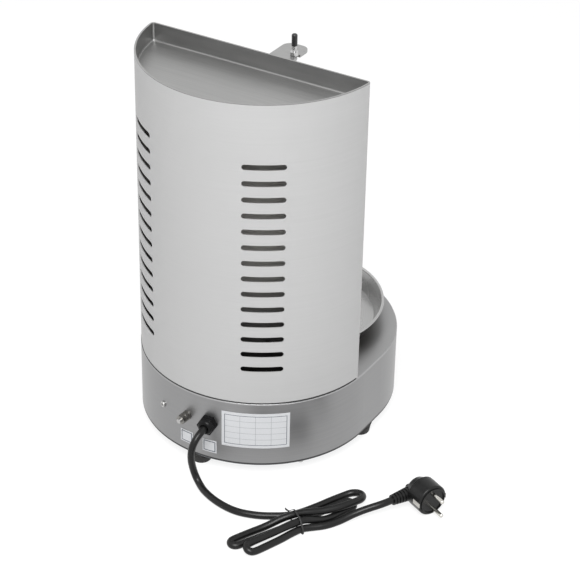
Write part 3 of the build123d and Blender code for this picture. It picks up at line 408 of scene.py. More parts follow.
# The base is an oval of two half rounds, with their middles this far behind and before the origin.
arc_middle = 0.021
bpy.ops.object.select_all(action="DESELECT")
bpy.ops.mesh.primitive_circle_add(
    vertices=12, radius=bead_thick, location=(bead_reach, 0, 0), rotation=(math.pi / 2, 0, 0),
    fill_type="NGON",
)
shadow_gap_bead = bpy.context.object
bpy.ops.object.transform_apply(location=True, rotation=True, scale=True)
bpy.ops.object.mode_set(mode="EDIT")
bpy.ops.mesh.select_all(action="SELECT")
bpy.ops.mesh.spin(
    steps=120, angle=math.pi - 2 * bead_end, center=(0, 0, 0), axis=(0, 0, 1), use_normal_flip=False
)
bpy.ops.mesh.select_all(action="SELECT")
bpy.ops.mesh.remove_doubles(threshold=0.00001)
bpy.ops.mesh.normals_make_consistent(inside=False)
bpy.ops.object.mode_set(mode="OBJECT")
spun_to = max(math.atan2(point.co.y, point.co.x) for point in shadow_gap_bead.data.vertices)
shadow_gap_bead.rotation_euler = (0, 0, bead_end if spun_to > 1.0 else math.pi - bead_end)
shadow_gap_bead.location = (0, arc_middle, bead_level)
complete(shadow_gap_bead, "shadow_gap_bead", shadow_gap_black, "frame", 60.0)


# Heat reflector
# A vee of bright steel behind the heating rods, held by screws to the shield's folded
# edges. Heat has tinted it near the rods; its rear side has painted shade, darkest low down.
def heat_tinted(name, plain, straw, blue, rough, stretch, middle, reach):
    """Bright sheet that has coloured where it ran hot, around a given place, with painted shade on its rear
    side.
    """
    material, tree, shader = new_finish(name)
    grain = add(tree, "ShaderNodeGroup", node_tree=grain_group)
    grain.inputs["Stretch"].default_value = stretch
    grain.inputs["Cloud Scale"].default_value = 14.0
    place = add(tree, "ShaderNodeTexCoord")
    moved = add(tree, "ShaderNodeMapping")
    moved.inputs["Location"].default_value = tuple(-at / half for at, half in zip(middle, reach))
    moved.inputs["Scale"].default_value = tuple(1 / half for half in reach)
    tree.links.new(place.outputs["Object"], moved.inputs["Vector"])
    away = add(tree, "ShaderNodeVectorMath", operation="LENGTH")
    tree.links.new(moved.outputs["Vector"], away.inputs[0])
    uneven = add(tree, "ShaderNodeMath", operation="ADD")
    tree.links.new(away.outputs["Value"], uneven.inputs[0])
    tree.links.new(range_of(tree, grain.outputs["Cloud"], -0.45, 0.45), uneven.inputs[1])
    ramp = add(tree, "ShaderNodeValToRGB")
    tree.links.new(uneven.outputs[0], ramp.inputs["Fac"])
    ramp.color_ramp.elements[0].color = blue
    ramp.color_ramp.elements[0].position = 0.1
    ramp.color_ramp.elements[1].color = plain
    ramp.color_ramp.elements[1].position = 0.95
    ramp.color_ramp.elements.new(0.5).color = straw
    shading = range_of(tree, grain.outputs["Streak"], 0.82, 1.12)
    front = blend_colour(tree, 1.0, ramp.outputs["Color"], shading, "MULTIPLY")
    level = add(tree, "ShaderNodeSeparateXYZ")
    tree.links.new(place.outputs["Object"], level.inputs[0])
    fade = add(tree, "ShaderNodeMapRange", {"From Min": 0.12, "From Max": 0.26})
    tree.links.new(level.outputs["Z"], fade.inputs["Value"])
    # Painted shade on the rear side: near black low down, light grey higher up.
    back = blend_colour(tree, fade.outputs["Result"], tone(56, 55, 54), tone(200, 198, 195))
    facing = add(tree, "ShaderNodeSeparateXYZ")
    tree.links.new(place.outputs["Normal"], facing.inputs[0])
    rear = add(tree, "ShaderNodeMath", {1: 0.1}, operation="GREATER_THAN")
    tree.links.new(facing.outputs["Y"], rear.inputs[0])
    tree.links.new(blend_colour(tree, rear.outputs[0], front, back), shader.inputs["Base Color"])
    gloss = add(tree, "ShaderNodeMath", operation="ADD")
    tree.links.new(range_of(tree, grain.outputs["Cloud"], rough - 0.08, rough + 0.12), gloss.inputs[0])
    tree.links.new(range_of(tree, rear.outputs[0], 0.0, 0.5), gloss.inputs[1])
    tree.links.new(gloss.outputs[0], shader.inputs["Roughness"])
    shader.inputs["Metallic"].default_value = 1.0
    return material


reflector_steel = heat_tinted(
    "reflector_steel", tone(208, 208, 207), tone(206, 200, 188), tone(188, 186, 188), 0.18, (40, 40, 900),
    middle=(0, 0.09, 0.29), reach=(0.11, 0.11, 0.24),
)
dress("heat_reflector", reflector_steel)


# Heating rods, their bushes and guards
# Two bent tubes of dark oxidised steel on white ceramic bushes with near-black rear ends,
# each behind a guard welded from bright steel wire so that nothing touches the hot rod.
element_sheath = plated("element_sheath", tone(44, 41, 40), tone(86, 80, 78), 0.55, 210.0)
for node in ("element_left", "element_right"):
    dress(node, element_sheath)
ceramic_white = moulded("ceramic_white", tone(222, 218, 208), tone(238, 236, 230), 0.35, 600.0, 0.00005)
tree, shader, white_bush_colour = paint_over(ceramic_white)
place = add(tree, "ShaderNodeTexCoord")
folded = add(tree, "ShaderNodeVectorMath", operation="ABSOLUTE")
depth_in = add(tree, "ShaderNodeVectorMath", operation="DOT_PRODUCT")
# Beyond a set depth along each bush's axis, the ceramic is coloured near black.
bush_way = (0.61, 0.79, 0.0)
dark_end_from = 0.0957
depth_in.inputs[1].default_value = bush_way
behind = add(tree, "ShaderNodeMath", {1: dark_end_from}, operation="GREATER_THAN")
tree.links.new(place.outputs["Object"], folded.inputs[0])
tree.links.new(folded.outputs[0], depth_in.inputs[0])
tree.links.new(depth_in.outputs["Value"], behind.inputs[0])
dark_end_colour = blend_colour(tree, behind.outputs[0], white_bush_colour, tone(34, 33, 32))
tree.links.new(dark_end_colour, shader.inputs["Base Color"])
dress("element_bushes", ceramic_white)
guard_wire = brushed(
    "guard_wire", tone(158, 156, 152), tone(204, 202, 198), 0.26, (300, 300, 60), cloud=0.1, cloud_scale=30.0
)
for node in ("element_guard_left", "element_guard_right"):
    dress(node, guard_wire)


# Warming tray
# A half-round tray of brushed steel with a low rolled wall, set into the top of
# the shield. The brush marks run along its straight side.
tray_steel = brushed(
    "tray_steel", tone(126, 126, 126), tone(144, 144, 143), 0.44, (8, 1100, 60), cloud=0.05, depth=0.00001
)
tree, shader, wall_colour = paint_over(tray_steel)
place = add(tree, "ShaderNodeTexCoord")
facing = add(tree, "ShaderNodeSeparateXYZ")
tree.links.new(place.outputs["Normal"], facing.inputs[0])
# Faces that look up are painted 1.6 times lighter than the walls: painted light on the floor.
flat_part = add(tree, "ShaderNodeMapRange", {"From Min": 0.6, "From Max": 1.0})
tree.links.new(facing.outputs["Z"], flat_part.inputs["Value"])
painted_light_floor_colour = blend_colour(tree, 1.0, wall_colour, (1.6, 1.6, 1.6, 1), "MULTIPLY")
tray_colour = blend_colour(tree, flat_part.outputs["Result"], wall_colour, painted_light_floor_colour)
tree.links.new(tray_colour, shader.inputs["Base Color"])
dress("top_tray", tray_steel)


# Upper arm
# A flat bar of brushed steel bolted under the hood, with the bearing hole for
# the top of the spit.
arm_steel = brushed("arm_steel", tone(150, 150, 150), tone(182, 182, 181), 0.32, (60, 900, 60), cloud=0.05)
dress("upper_arm", arm_steel)


# Drip pan and turntable
# A spun pan of bright steel with a rolled rim catches the fat, and the round plate
# above it turns with the shaft and carries the meat. Spinning leaves rings round both.
def spun(name, dark, light, rough, centre):
    """Spun sheet metal: fine rings round a middle point."""
    material, tree, shader = new_finish(name)
    place = add(tree, "ShaderNodeTexCoord")
    moved = add(tree, "ShaderNodeMapping")
    moved.inputs["Location"].default_value = (-centre[0], -centre[1], 0.0)
    tree.links.new(place.outputs["Object"], moved.inputs["Vector"])
    flat = add(tree, "ShaderNodeVectorMath", operation="MULTIPLY")
    flat.inputs[1].default_value = (1.0, 1.0, 0.0)
    tree.links.new(moved.outputs["Vector"], flat.inputs[0])
    radius = add(tree, "ShaderNodeVectorMath", operation="LENGTH")
    tree.links.new(flat.outputs[0], radius.inputs[0])
    rings = add(tree, "ShaderNodeTexNoise", {"Scale": 1400.0, "Detail": 3.0}, noise_dimensions="1D")
    tree.links.new(radius.outputs["Value"], rings.inputs["W"])
    clouds = add(tree, "ShaderNodeTexNoise", {"Scale": 22.0, "Detail": 3.0})
    tree.links.new(place.outputs["Object"], clouds.inputs["Vector"])
    colour = blend_colour(tree, rings.outputs["Fac"], dark, light)
    shading = range_of(tree, clouds.outputs["Fac"], 0.9, 1.1)
    tree.links.new(blend_colour(tree, 1.0, colour, shading, "MULTIPLY"), shader.inputs["Base Color"])
    gloss = range_of(tree, clouds.outputs["Fac"], rough - 0.08, rough + 0.1)
    tree.links.new(gloss, shader.inputs["Roughness"])
    shader.inputs["Metallic"].default_value = 1.0
    relief = add(tree, "ShaderNodeBump", {"Strength": 0.3, "Distance": 0.00003})
    tree.links.new(rings.outputs["Fac"], relief.inputs["Height"])
    tree.links.new(relief.outputs["Normal"], shader.inputs["Normal"])
    return material


pan_steel = spun("pan_steel", tone(158, 158, 158), tone(190, 190, 189), 0.26, spit_centre)
tree, shader, inner_colour = paint_over(pan_steel)
place = add(tree, "ShaderNodeTexCoord")
facing = add(tree, "ShaderNodeSeparateXYZ")
tree.links.new(place.outputs["Normal"], facing.inputs[0])
# Faces that look down are painted dark grey: painted shade under the pan, which the base's top also
# reflects.
under = add(tree, "ShaderNodeMapRange", {"From Min": -0.02, "From Max": -0.2})
tree.links.new(facing.outputs["Z"], under.inputs["Value"])
pan_colour_painted_shade = blend_colour(tree, under.outputs["Result"], inner_colour, tone(104, 102, 100))
tree.links.new(pan_colour_painted_shade, shader.inputs["Base Color"])
dress("drip_pan", pan_steel)
rim_steel = spun("rim_steel", tone(168, 168, 168), tone(196, 196, 195), 0.24, spit_centre)
low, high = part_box("drip_pan")
rim_roll = 0.0017
rim_inset = 0.0012
rim_steps = 14
rim_reach = (high.x - low.x) / 2 - rim_inset
rim_turns = [2 * math.pi * step / rim_steps for step in range(rim_steps)]
rim_rings = [(rim_reach + rim_roll * math.cos(turn), rim_roll * math.sin(turn)) for turn in rim_turns]
pan_rim = turned(rim_rings, 128, hollow=True)
pan_rim.location = (spit_centre[0], spit_centre[1], high.z - rim_roll)
complete(pan_rim, "pan_rim", rim_steel, "frame", 60.0)
turntable_steel = spun("turntable_steel", tone(170, 170, 170), tone(206, 206, 205), 0.22, spit_centre)
dress("turntable", turntable_steel)


# Spit grip
# A smooth black grip on the top end of the spit, to lift it out by.
black_plastic = moulded("black_plastic", tone(24, 24, 25), tone(38, 38, 39), 0.42, 1900.0, 0.00004)
dress("spit_grip", black_plastic)


# Thermostat, knob and dial
# The thermostat sits behind the front wall, and its spindle carries a fluted
# black plastic knob with a white line. The dial round it is printed on the steel.
def pick_faces(piece, wanted):
    """Selects the faces that pass a test on their centre and normal, and enters edit mode."""
    bpy.ops.object.mode_set(mode="EDIT")
    bpy.ops.mesh.select_mode(type="FACE")
    bpy.ops.mesh.select_all(action="DESELECT")
    bpy.ops.object.mode_set(mode="OBJECT")
    for face in piece.data.polygons:
        face.select = wanted(face.center, face.normal)
    bpy.ops.object.mode_set(mode="EDIT")


def stand_on(piece, origin, across, out):
    """Stands a piece at a place, with its X axis across and its Z axis outward."""
    z = Vector(out).normalized()
    x = Vector(across).normalized()
    piece.matrix_world = Matrix.Translation(origin) @ Matrix((x, z.cross(x), z)).transposed().to_4x4()


def small_bar(size, at, soft):
    """A straight bar with rounded edges, from its three sizes and its middle."""
    bpy.ops.object.select_all(action="DESELECT")
    bpy.ops.mesh.primitive_cube_add(size=1.0, location=at)
    bar = bpy.context.object
    bar.scale = size
    bpy.ops.object.transform_apply(location=True, rotation=True, scale=True)
    bpy.ops.object.mode_set(mode="EDIT")
    bpy.ops.mesh.select_all(action="SELECT")
    bpy.ops.mesh.bevel(offset=soft, segments=2)
    bpy.ops.object.mode_set(mode="OBJECT")
    return bar


dress("thermostat_body", black_plastic)
wall_radius = 0.145
control_level = 0.060
knob_origin = (0, -arc_middle - wall_radius, control_level)
knob_out = Vector((0, -1, 0))
knob_points = Vector((-1, 0, -1)).normalized()
knob_sides = 60
knob_rings = [
    (0.0098, 0.0062), (0.0098, 0.0012), (0.0184, 0.0012), (0.0189, 0.0016), (0.0189, 0.0050),
    (0.0184, 0.0058), (0.0150, 0.0063), (0.0141, 0.0070), (0.0138, 0.0082), (0.0133, 0.0136),
    (0.0127, 0.0144), (0.0118, 0.0146), (0.0060, 0.0143),
]
grip_low = 0.0085
grip_high = 0.0135
grip_inside = 0.01


def in_flute(at, way):
    """Whether a face of the knob's grip lies in a flute: two faces of every five do."""
    side = int((math.atan2(at.y, at.x) + math.pi) / (2 * math.pi) * knob_sides)
    return grip_low < at.z < grip_high and at.xy.length > grip_inside and side % 5 < 2


knob = turned(knob_rings, knob_sides)
pick_faces(knob, in_flute)
bpy.ops.mesh.inset(thickness=0.0003, depth=-0.0009, use_individual=False)
bpy.ops.object.mode_set(mode="OBJECT")
stand_on(knob, knob_origin, knob_points.cross(knob_out), knob_out)
complete(knob, "knob", black_plastic, "thermostat", 35.0)
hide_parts("thermostat_knob")

white_print = moulded("white_print", tone(226, 226, 222), tone(240, 240, 238), 0.5, 1500.0, 0.00002)
knob_line = small_bar((0.0012, 0.0076, 0.0006), (0, 0.0078, 0.0146), 0.0002)
stand_on(knob_line, knob_origin, knob_points.cross(knob_out), knob_out)
complete(knob_line, "knob_line", white_print, "thermostat", 35.0)

dial_print = moulded("dial_print", tone(24, 24, 26), tone(40, 40, 42), 0.5, 1500.0, 0.00002)
dial_marks = []
dial_steps = 13
dial_from = -135
dial_step = 22.5
long_tick = 0.0032
short_tick = 0.0019
tick_reach = 0.0212
digit_reach = 0.0286
for step in range(dial_steps):
    numbered = step % 2 == 0
    turn = math.radians(dial_from + dial_step * step)
    length = long_tick if numbered else short_tick
    tick = small_bar((0.0006, 0.0002, length), (0, 0, tick_reach + length / 2), 0.00005)
    tick.rotation_euler = (0, turn, 0)
    dial_marks.append(tick)
    if numbered:
        bpy.ops.object.select_all(action="DESELECT")
        digit_place = (digit_reach * math.sin(turn), 0, digit_reach * math.cos(turn))
        bpy.ops.object.text_add(location=digit_place, rotation=(math.pi / 2, 0, 0))
        digits = bpy.context.object
        digits.data.body = str(25 * step)
        digits.data.size = 0.0052
        digits.data.extrude = 0.0001
        digits.data.align_x = "CENTER"
        digits.data.align_y = "CENTER"
        bpy.ops.object.convert(target="MESH")
        dial_marks.append(bpy.context.object)
bpy.ops.object.select_all(action="DESELECT")
for mark in dial_marks:
    mark.select_set(True)
bpy.context.view_layer.objects.active = dial_marks[0]
bpy.ops.object.transform_apply(location=True, rotation=True, scale=True)
bpy.ops.object.join()
dial = bpy.context.object
for point in dial.data.vertices:
    point.co.y += -arc_middle - math.sqrt(wall_radius ** 2 - point.co.x ** 2)
    point.co.z += control_level
complete(dial, "dial_scale", dial_print, "frame", 35.0)


# Switch and pilot lamp
# A rocker switch in a black housing and an amber lamp in a bright bezel, both
# snapped into the front wall. The rocker's two ends are marked with white paint.
for node in ("switch_housing", "switch_rocker"):
    dress(node, black_plastic)
amber_lens = moulded("amber_lens", tone(214, 106, 18), tone(236, 138, 34), 0.18, 500.0, 0.00003)
dress("lamp_lens", amber_lens)
switch_turn = math.radians(27.0)
rocker_rest = math.radians(9.0)
rocker_slope = math.atan(2.5 / 11.5)
rocker_seat = 0.0020
mark_reach = 0.0064
rocker_across = Vector((math.cos(switch_turn), math.sin(switch_turn), 0))
switch_out = Vector((math.sin(switch_turn), -math.cos(switch_turn), 0))
rocker_origin = Vector((0, -arc_middle, control_level)) + switch_out * wall_radius
rocker_up = Vector((0, 0, 1)) * math.cos(rocker_rest) + switch_out * math.sin(rocker_rest)
rocker_out = switch_out * math.cos(rocker_rest) - Vector((0, 0, 1)) * math.sin(rocker_rest)
on_mark = small_bar((0.0010, 0.0052, 0.0003), (0, 0, 0), 0.0001)
off_mark = turned([
    (0.0028, -0.00012), (0.0028, 0.00010), (0.0027, 0.00015), (0.0020, 0.00015), (0.0019, 0.00010),
    (0.0019, -0.00012),
], 40, hollow=True)
mark_height = rocker_seat + mark_reach * math.tan(rocker_slope)
for mark, name, side in ((on_mark, "rocker_on_mark", 1), (off_mark, "rocker_off_mark", -1)):
    mark_origin = rocker_origin + rocker_up * side * mark_reach + rocker_out * mark_height
    face_out = rocker_out * math.cos(rocker_slope) - rocker_up * side * math.sin(rocker_slope)
    stand_on(mark, mark_origin, rocker_across, face_out)
    complete(mark, name, white_print, "rocker", 40.0)


# Rating plate and stickers
# Thin white labels stuck on the base's rear wall. They are blank forms: a
# border and ruled lines, with nothing written in.
def ruled_label(name, turn, level, half_wide, half_tall, row, column, line, split=0.0, drop=0.0):
    """Glossy white label film with a printed border and ruled cells, for a place on the rear wall."""
    material, tree, shader = new_finish(name)
    place = add(tree, "ShaderNodeTexCoord")
    paper = add(tree, "ShaderNodeTexNoise", {"Scale": 900.0, "Detail": 3.0})
    tree.links.new(place.outputs["Object"], paper.inputs["Vector"])
    moved = add(tree, "ShaderNodeMapping")
    moved.inputs["Location"].default_value = (arc_middle * math.sin(turn), 0, -level)
    moved.inputs["Rotation"].default_value = (0, 0, math.pi - turn)
    tree.links.new(place.outputs["Object"], moved.inputs["Vector"])
    axes = add(tree, "ShaderNodeSeparateXYZ")
    tree.links.new(moved.outputs["Vector"], axes.inputs[0])

    def work(way, first, second):
        """One step of arithmetic on two values, each a socket or a number."""
        step = add(tree, "ShaderNodeMath", operation=way)
        for end, value in enumerate((first, second)):
            if isinstance(value, bpy.types.NodeSocket):
                tree.links.new(value, step.inputs[end])
            else:
                step.inputs[end].default_value = value
        return step.outputs[0]

    aside, upward = axes.outputs["X"], axes.outputs["Z"]
    if split:
        upward = work("ADD", upward, work("MULTIPLY", work("GREATER_THAN", aside, 0.0), 2 * drop))
        upward = work("SUBTRACT", upward, drop)
        aside = work("SUBTRACT", work("ABSOLUTE", aside, 0.0), split)
    wide, tall = work("ABSOLUTE", aside, 0.0), work("ABSOLUTE", upward, 0.0)
    frames = []
    for inset in (0.0, line):
        between_sides = work("LESS_THAN", wide, half_wide - inset)
        between_ends = work("LESS_THAN", tall, half_tall - inset)
        frames.append(work("MULTIPLY", between_sides, between_ends))
    ink = work("SUBTRACT", frames[0], frames[1])
    if row:
        thin = 0.00020
        faint = 0.6
        lines = work("LESS_THAN", work("PINGPONG", work("ADD", upward, half_tall), row / 2), thin)
        posts = work("LESS_THAN", work("PINGPONG", work("ADD", aside, half_wide), column / 2), thin)
        inside = work("MULTIPLY", frames[1], faint)
        ink = work("MAXIMUM", ink, work("MULTIPLY", work("MAXIMUM", lines, posts), inside))
    sheet = blend_colour(tree, paper.outputs["Fac"], tone(182, 184, 187), tone(197, 198, 200))
    tree.links.new(blend_colour(tree, ink, sheet, tone(70, 76, 86)), shader.inputs["Base Color"])
    tree.links.new(range_of(tree, paper.outputs["Fac"], 0.32, 0.48), shader.inputs["Roughness"])
    return material


rating_film = ruled_label(
    "rating_film", math.radians(30.0), level=0.0643, half_wide=0.0365, half_tall=0.0206,
    row=0.00824, column=0.01825, line=0.0007,
)
dress("rating_plate", rating_film)
sticker_film = ruled_label(
    "sticker_film", math.radians(1.9), level=0.0348, half_wide=0.0076, half_tall=0.0071,
    row=0, column=0, line=0.0011, split=0.01565, drop=0.001,
)
dress("stickers", sticker_film)


# Cable gland
# A screwed gland of black nylon: the hexagon body through the rear wall, its
# locknut inside, and the domed nut that grips the cord.
black_nylon = moulded("black_nylon", tone(10, 10, 11), tone(18, 18, 19), 0.26, 1600.0, 0.00003)
shader_of(black_nylon).inputs["Specular IOR Level"].default_value = 0.14
for node in ("gland_body", "gland_locknut"):
    dress(node, black_nylon)
gland_turn = math.radians(7.8)
gland_across = Vector((math.cos(gland_turn), math.sin(gland_turn), 0))
gland_out = Vector((-math.sin(gland_turn), math.cos(gland_turn), 0))
gland_axis = Vector((0, arc_middle, 0.0663))
bpy.ops.object.select_all(action="DESELECT")
bpy.ops.mesh.primitive_cylinder_add(
    vertices=6, radius=0.01153, depth=0.0050, location=(0, 0, 0.0076), rotation=(0, 0, math.pi / 6)
)
gland_nut = bpy.context.object
bpy.ops.object.transform_apply(location=True, rotation=True, scale=True)
bpy.ops.object.mode_set(mode="EDIT")
bpy.ops.mesh.select_all(action="SELECT")
bpy.ops.mesh.bevel(offset=0.0009, segments=3)
bpy.ops.object.mode_set(mode="OBJECT")
gland_cap = turned([
    (0.0047, 0.0099), (0.0047, 0.0124), (0.0049, 0.0128), (0.0054, 0.0131), (0.0063, 0.0130),
    (0.0074, 0.0126), (0.0084, 0.0118), (0.0091, 0.0108), (0.0094, 0.0099),
], 56, hollow=True)
gland_nut.select_set(True)
bpy.context.view_layer.objects.active = gland_cap
gland_cap.select_set(True)
bpy.ops.object.join()
stand_on(gland_cap, gland_axis + gland_out * wall_radius, gland_across, gland_out)
complete(gland_cap, "gland_cap", black_nylon, "frame", 32.0)
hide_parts("gland_dome")


# Power cord
# A round mains lead of black PVC. It leaves the gland, drops to the table and
# is folded there in a flat hank, two loops each way, with its plug at the end.
cord_black = moulded("cord_black", tone(12, 12, 12), tone(20, 20, 20), 0.3, 1400.0, 0.00002)
shader_of(cord_black).inputs["Specular IOR Level"].default_value = 0.28
cord_thick = 0.0086
floor_line = cord_thick / 2 + 0.00005
route = [gland_axis + gland_out * out for out in (0.147, 0.1625)] + [
    (-0.0213, 0.1899, 0.0634), (-0.0200, 0.1961, 0.0576), (-0.0188, 0.1999, 0.0490),
    (-0.0184, 0.2007, 0.0371), (-0.0194, 0.1990, 0.0242), (-0.0227, 0.1981, 0.0126),
    (-0.0306, 0.2010, 0.0050), (-0.0430, 0.2090, floor_line), (-0.0660, 0.2175, floor_line),
    (-0.0930, 0.2205, floor_line), (-0.1175, 0.2130, floor_line), (-0.1340, 0.2032, floor_line),
]
hank_middle = Vector((-0.162, 0.203, 0.0))
hank_turn = math.radians(244.62)
hank_along = Vector((math.cos(hank_turn), math.sin(hank_turn), 0.0))
hank_across = Vector((-math.sin(hank_turn), math.cos(hank_turn), 0.0))


def on_hank(along, across, level):
    """A place on the hank, from millimetres along it, across it and up."""
    return hank_middle + (hank_along * along + hank_across * across + Vector((0, 0, level))) / 1000


fold_steps = 5
fold_swell = 1.035


def fold(middle, reach, side_in, side_out, level_in, level_mid, level_out):
    """The points round one end of the hank, where the cord turns back."""
    points = []
    for step in range(fold_steps + 1):
        share = step / fold_steps
        turn = math.pi * share
        swell = fold_swell if 0 < step < fold_steps else 1.0
        along = middle + reach * math.sin(turn) * fold_swell
        across = (side_in + side_out) / 2 + (side_in - side_out) / 2 * math.cos(turn) * swell
        level = (1 - share) * (1 - 2 * share) * level_in
        level += 4 * share * (1 - share) * level_mid
        level += share * (2 * share - 1) * level_out
        points.append((along, across, level))
    return points


# The strands in millimetres along the hank, across it and up; low is a strand flat on the table.
low = floor_line * 1000
hank = [(2, 15.6, 5.5), (18, 13.8, 4.9), (40, 14, low), (60, 14.8, low)]
hank += fold(76, 16, 14.6, -11.4, low, 9, 13.6)
hank += [(56, -10.4, 13.6), (44, -8, 13.2), (32, -4.4, 13), (20, -0.2, 14.2), (8, 4, 14.7)]
hank += [(-4, 6.4, 14.3), (-16, 9.4, 11.4), (-32, 12.4, 6.2), (-52, 14.8, low)]
hank += fold(-73, -7, 14.4, 2.4, low, low, low)
hank += [(-52, 2.2, low), (-30, 1.4, low + 0.2), (-8, 0.5, 5.6), (8, 0.4, 5.6), (26, 1.8, 4.8)]
hank += [(44, 4, low)]
hank += fold(70, 7.6, 4.6, -9.4, low, low, low)
hank += [(56, -10, low), (44, -11.2, low), (32, -11, 5), (20, -8.8, 8.2), (8, -6, 12)]
hank += [(-6, -5.4, 12.6), (-30, -6, 11), (-55, -6.4, 10.4)]
hank += fold(-65.8, -5.4, -6.4, -16.4, 9.9, 7.3, 4.9)
hank += [(-60, -16.2, low), (-44, -15, low), (-28, -13.8, low + 0.1), (-12, -11.8, 5.1), (2, -11, 5.2)]
hank += [(14, -14.9, 4.5), (28, -20.2, low), (46, -22, 4.8), (64, -23.4, 8.4), (80, -28.6, 13)]
hank += [(96, -34, 16.4), (110, -34, 16.5), (121.5, -34, 16.5)]
route += [on_hank(*point) for point in hank]
line = bpy.data.curves.new("power_cord", "CURVE")
line.dimensions = "3D"
strand = line.splines.new("NURBS")
strand.points.add(len(route) - 1)
for point, at in zip(strand.points, route):
    point.co = (at[0], at[1], at[2], 1.0)
strand.order_u = 3
strand.use_endpoint_u = True
line.resolution_u = 8
line.bevel_depth = cord_thick / 2
line.bevel_resolution = 5
line.use_fill_caps = True
line.materials.append(cord_black)
power_cord = bpy.data.objects.new("power_cord", line)
bpy.context.collection.objects.link(power_cord)
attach(power_cord, "frame")
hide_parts("cord_lead", "cord_hank")


# Twist tie
# A black plastic-coated wire, bent once round the middle of the hank; its two
# ends are twisted together on the far side.
tie_black = moulded("tie_black", tone(20, 20, 20), tone(34, 34, 34), 0.5, 1200.0, 0.00004)
tie_place = 3.0
tie_slant = 0.12
tie_middle = 8.0
tie_line = bpy.data.curves.new("twist_tie", "CURVE")
tie_line.dimensions = "3D"
band_points = [
    (tie_place + tie_slant * (across - tie_middle), across, level) for across, level in (
        (20.7, 4.4), (20.7, 1.6), (19.4, 0.75), (10, 0.7), (-5, 0.7), (-15, 0.75), (-16.3, 1.6),
        (-16.3, 4.6), (-16.2, 7.2), (-14.6, 9.7), (-10.6, 14.6), (-9, 16.4), (-6.2, 17.6), (0, 18.9),
        (5.6, 20.0), (8.2, 19.1), (12, 15.7), (18.6, 9.8), (20.5, 8.0),
    )
]
twist_across = 19.6
twist_level = 10.2
twist_radius = 0.8
twist_turn = 1.4
twist_rise = 0.6
twist_lean = 0.8
end_points = []
for half_turn in (0.0, math.pi):
    turns = [half_turn + twist_turn * step for step in range(4)]
    end_points.append([
        (
            tie_place - twist_lean * step,
            twist_across + twist_rise * step + twist_radius * math.cos(turn),
            twist_level + twist_rise * step + twist_radius * math.sin(turn),
        ) for step, turn in enumerate(turns)
    ])
for points, closed in ((band_points, True), (end_points[0], False), (end_points[1], False)):
    wire = tie_line.splines.new("NURBS")
    wire.points.add(len(points) - 1)
    for point, at in zip(wire.points, points):
        point.co = (*on_hank(*at), 1.0)
        point.tilt = math.pi / 2
        point.radius = 1.0
    wire.order_u = 3
    wire.use_cyclic_u = closed
    wire.use_endpoint_u = not closed
tie_line.resolution_u = 6
tie_line.bevel_depth = 0.0004
tie_line.bevel_resolution = 3
tie_line.extrude = 0.0006
tie_line.use_fill_caps = True
twist_tie = bpy.data.objects.new("twist_tie", tie_line)
bpy.context.collection.objects.link(twist_tie)
bpy.ops.object.select_all(action="DESELECT")
twist_tie.select_set(True)
bpy.context.view_layer.objects.active = twist_tie
bpy.ops.object.convert(target="MESH")
twist_tie = bpy.context.object
complete(twist_tie, "twist_tie", tie_black, "frame", 60.0)
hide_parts("cord_tie")


# Plug
# An angled two-pin mains plug, moulded in one piece with its ribbed sleeve on the
# end of the cord, with a collar, a raised ring on its face, plated pins and earth strips.
dress("plug_body", cord_black)
nickel = plated("nickel", tone(182, 180, 174), tone(222, 220, 214), 0.2, 300.0)
dress("plug_pins", nickel)
strip_nickel = plated("strip_nickel", tone(166, 164, 160), tone(206, 204, 198), 0.3, 300.0)
dress("plug_earth_strips", strip_nickel)
plug_origin = on_hank(146.5, -62.0, 19.0)
plug_collar = turned([
    (0.0160, 0.0202), (0.0184, 0.0202), (0.0189, 0.0205), (0.0189, 0.0222), (0.0185, 0.0226),
    (0.0160, 0.0226),
], 64, hollow=True)
stand_on(plug_collar, plug_origin, hank_along, hank_across)
complete(plug_collar, "plug_collar", cord_black, "frame", 40.0)
face_ring = turned([
    (0.0150, -0.0001), (0.0150, -0.0011), (0.0154, -0.0014), (0.0160, -0.0014), (0.0164, -0.0011),
    (0.0164, -0.0001),
], 64, hollow=True)
stand_on(face_ring, plug_origin, hank_along, hank_across)
complete(face_ring, "plug_face_ring", cord_black, "frame", 40.0)


# Table, light and camera
# A white table that runs out of the picture, a broad soft lamp above the
# camera, a weaker one at each side, and the camera behind the oven.
def shown(tree):
    """1 on rays that show a thing: straight, in a mirror or through glass; 0 on the rays that light it."""
    rays = add(tree, "ShaderNodeLightPath")
    share = rays.outputs["Is Camera Ray"]
    for kind in ("Is Glossy Ray", "Is Transmission Ray"):
        either = add(tree, "ShaderNodeMath", operation="MAXIMUM")
        tree.links.new(share, either.inputs[0])
        tree.links.new(rays.outputs[kind], either.inputs[1])
        share = either.outputs[0]
    return share


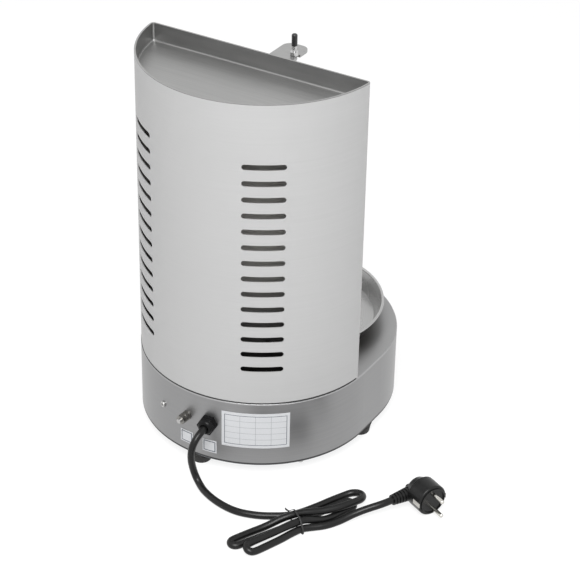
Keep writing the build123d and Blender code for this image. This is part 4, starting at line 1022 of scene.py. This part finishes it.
bpy.ops.object.select_all(action="DESELECT")
bpy.ops.mesh.primitive_plane_add(size=14.0, location=(0, 0, 0))
table = bpy.context.object
table.name = "table"
table_white = bpy.data.materials.new("table_white")
table_white.use_nodes = True
tree = table_white.node_tree
tree.nodes.clear()
glow = add(tree, "ShaderNodeEmission", {"Color": (1, 1, 1, 1), "Strength": 1.04})
chalk = add(tree, "ShaderNodeBsdfDiffuse", {"Color": (1, 1, 1, 1)})
plain = add(tree, "ShaderNodeBsdfDiffuse", {"Color": (0.75, 0.75, 0.75, 1)})
bright = add(tree, "ShaderNodeMixShader", {"Fac": 0.22})
chosen = add(tree, "ShaderNodeMixShader")
surface = add(tree, "ShaderNodeOutputMaterial")
tree.links.new(glow.outputs[0], bright.inputs[1])
tree.links.new(chalk.outputs[0], bright.inputs[2])
tree.links.new(shown(tree), chosen.inputs[0])
tree.links.new(plain.outputs[0], chosen.inputs[1])
tree.links.new(bright.outputs[0], chosen.inputs[2])
tree.links.new(chosen.outputs[0], surface.inputs["Surface"])
table.data.materials.append(table_white)

world = bpy.data.worlds.new("studio")
bpy.context.scene.world = world
world.use_nodes = True
tree = world.node_tree
sky = tree.nodes["Background"]
sky.inputs["Color"].default_value = (1, 1, 1, 1)
tree.links.new(range_of(tree, shown(tree), 0.5, 1.0), sky.inputs["Strength"])


def soft_lamp(name, size, watts, at, aim):
    """A square soft lamp that faces a point."""
    lamp = bpy.data.lights.new(name, "AREA")
    lamp.size = size
    lamp.energy = watts
    holder = bpy.data.objects.new(name, lamp)
    bpy.context.collection.objects.link(holder)
    holder.location = at
    holder.rotation_euler = (Vector(aim) - Vector(at)).to_track_quat("-Z", "Y").to_euler()


soft_lamp("key_lamp", 1.6, 90.0, (-0.9, 1.6, 2.3), (0, 0.05, 0.22))
soft_lamp("left_lamp", 1.2, 2.5, (2.0, 0.9, 1.2), (0, 0.0, 0.25))
soft_lamp("right_lamp", 1.2, 2.5, (-2.0, -0.7, 1.2), (0, 0.0, 0.25))

lens = bpy.data.cameras.new("camera")
lens.sensor_width = 36.0
lens.lens = 119.74
lens.shift_x = 0.0486
lens.shift_y = -0.0863
lens.clip_end = 60.0
camera = bpy.data.objects.new("camera", lens)
bpy.context.collection.objects.link(camera)
stand = Vector((-1.0371, 1.6851, 1.3870))
aim = Vector((0.0, 0.021, 0.23633))
ahead = (aim - stand).normalized()
right = ahead.cross(Vector((0, 0, 1))).normalized()
up = right.cross(ahead)
roll = math.radians(0.63)
turned_right = right * math.cos(roll) + up * math.sin(roll)
turned_up = up * math.cos(roll) - right * math.sin(roll)
axes = Matrix((turned_right, turned_up, -ahead)).transposed().to_4x4()
camera.matrix_world = Matrix.Translation(stand) @ axes
bpy.context.scene.camera = camera
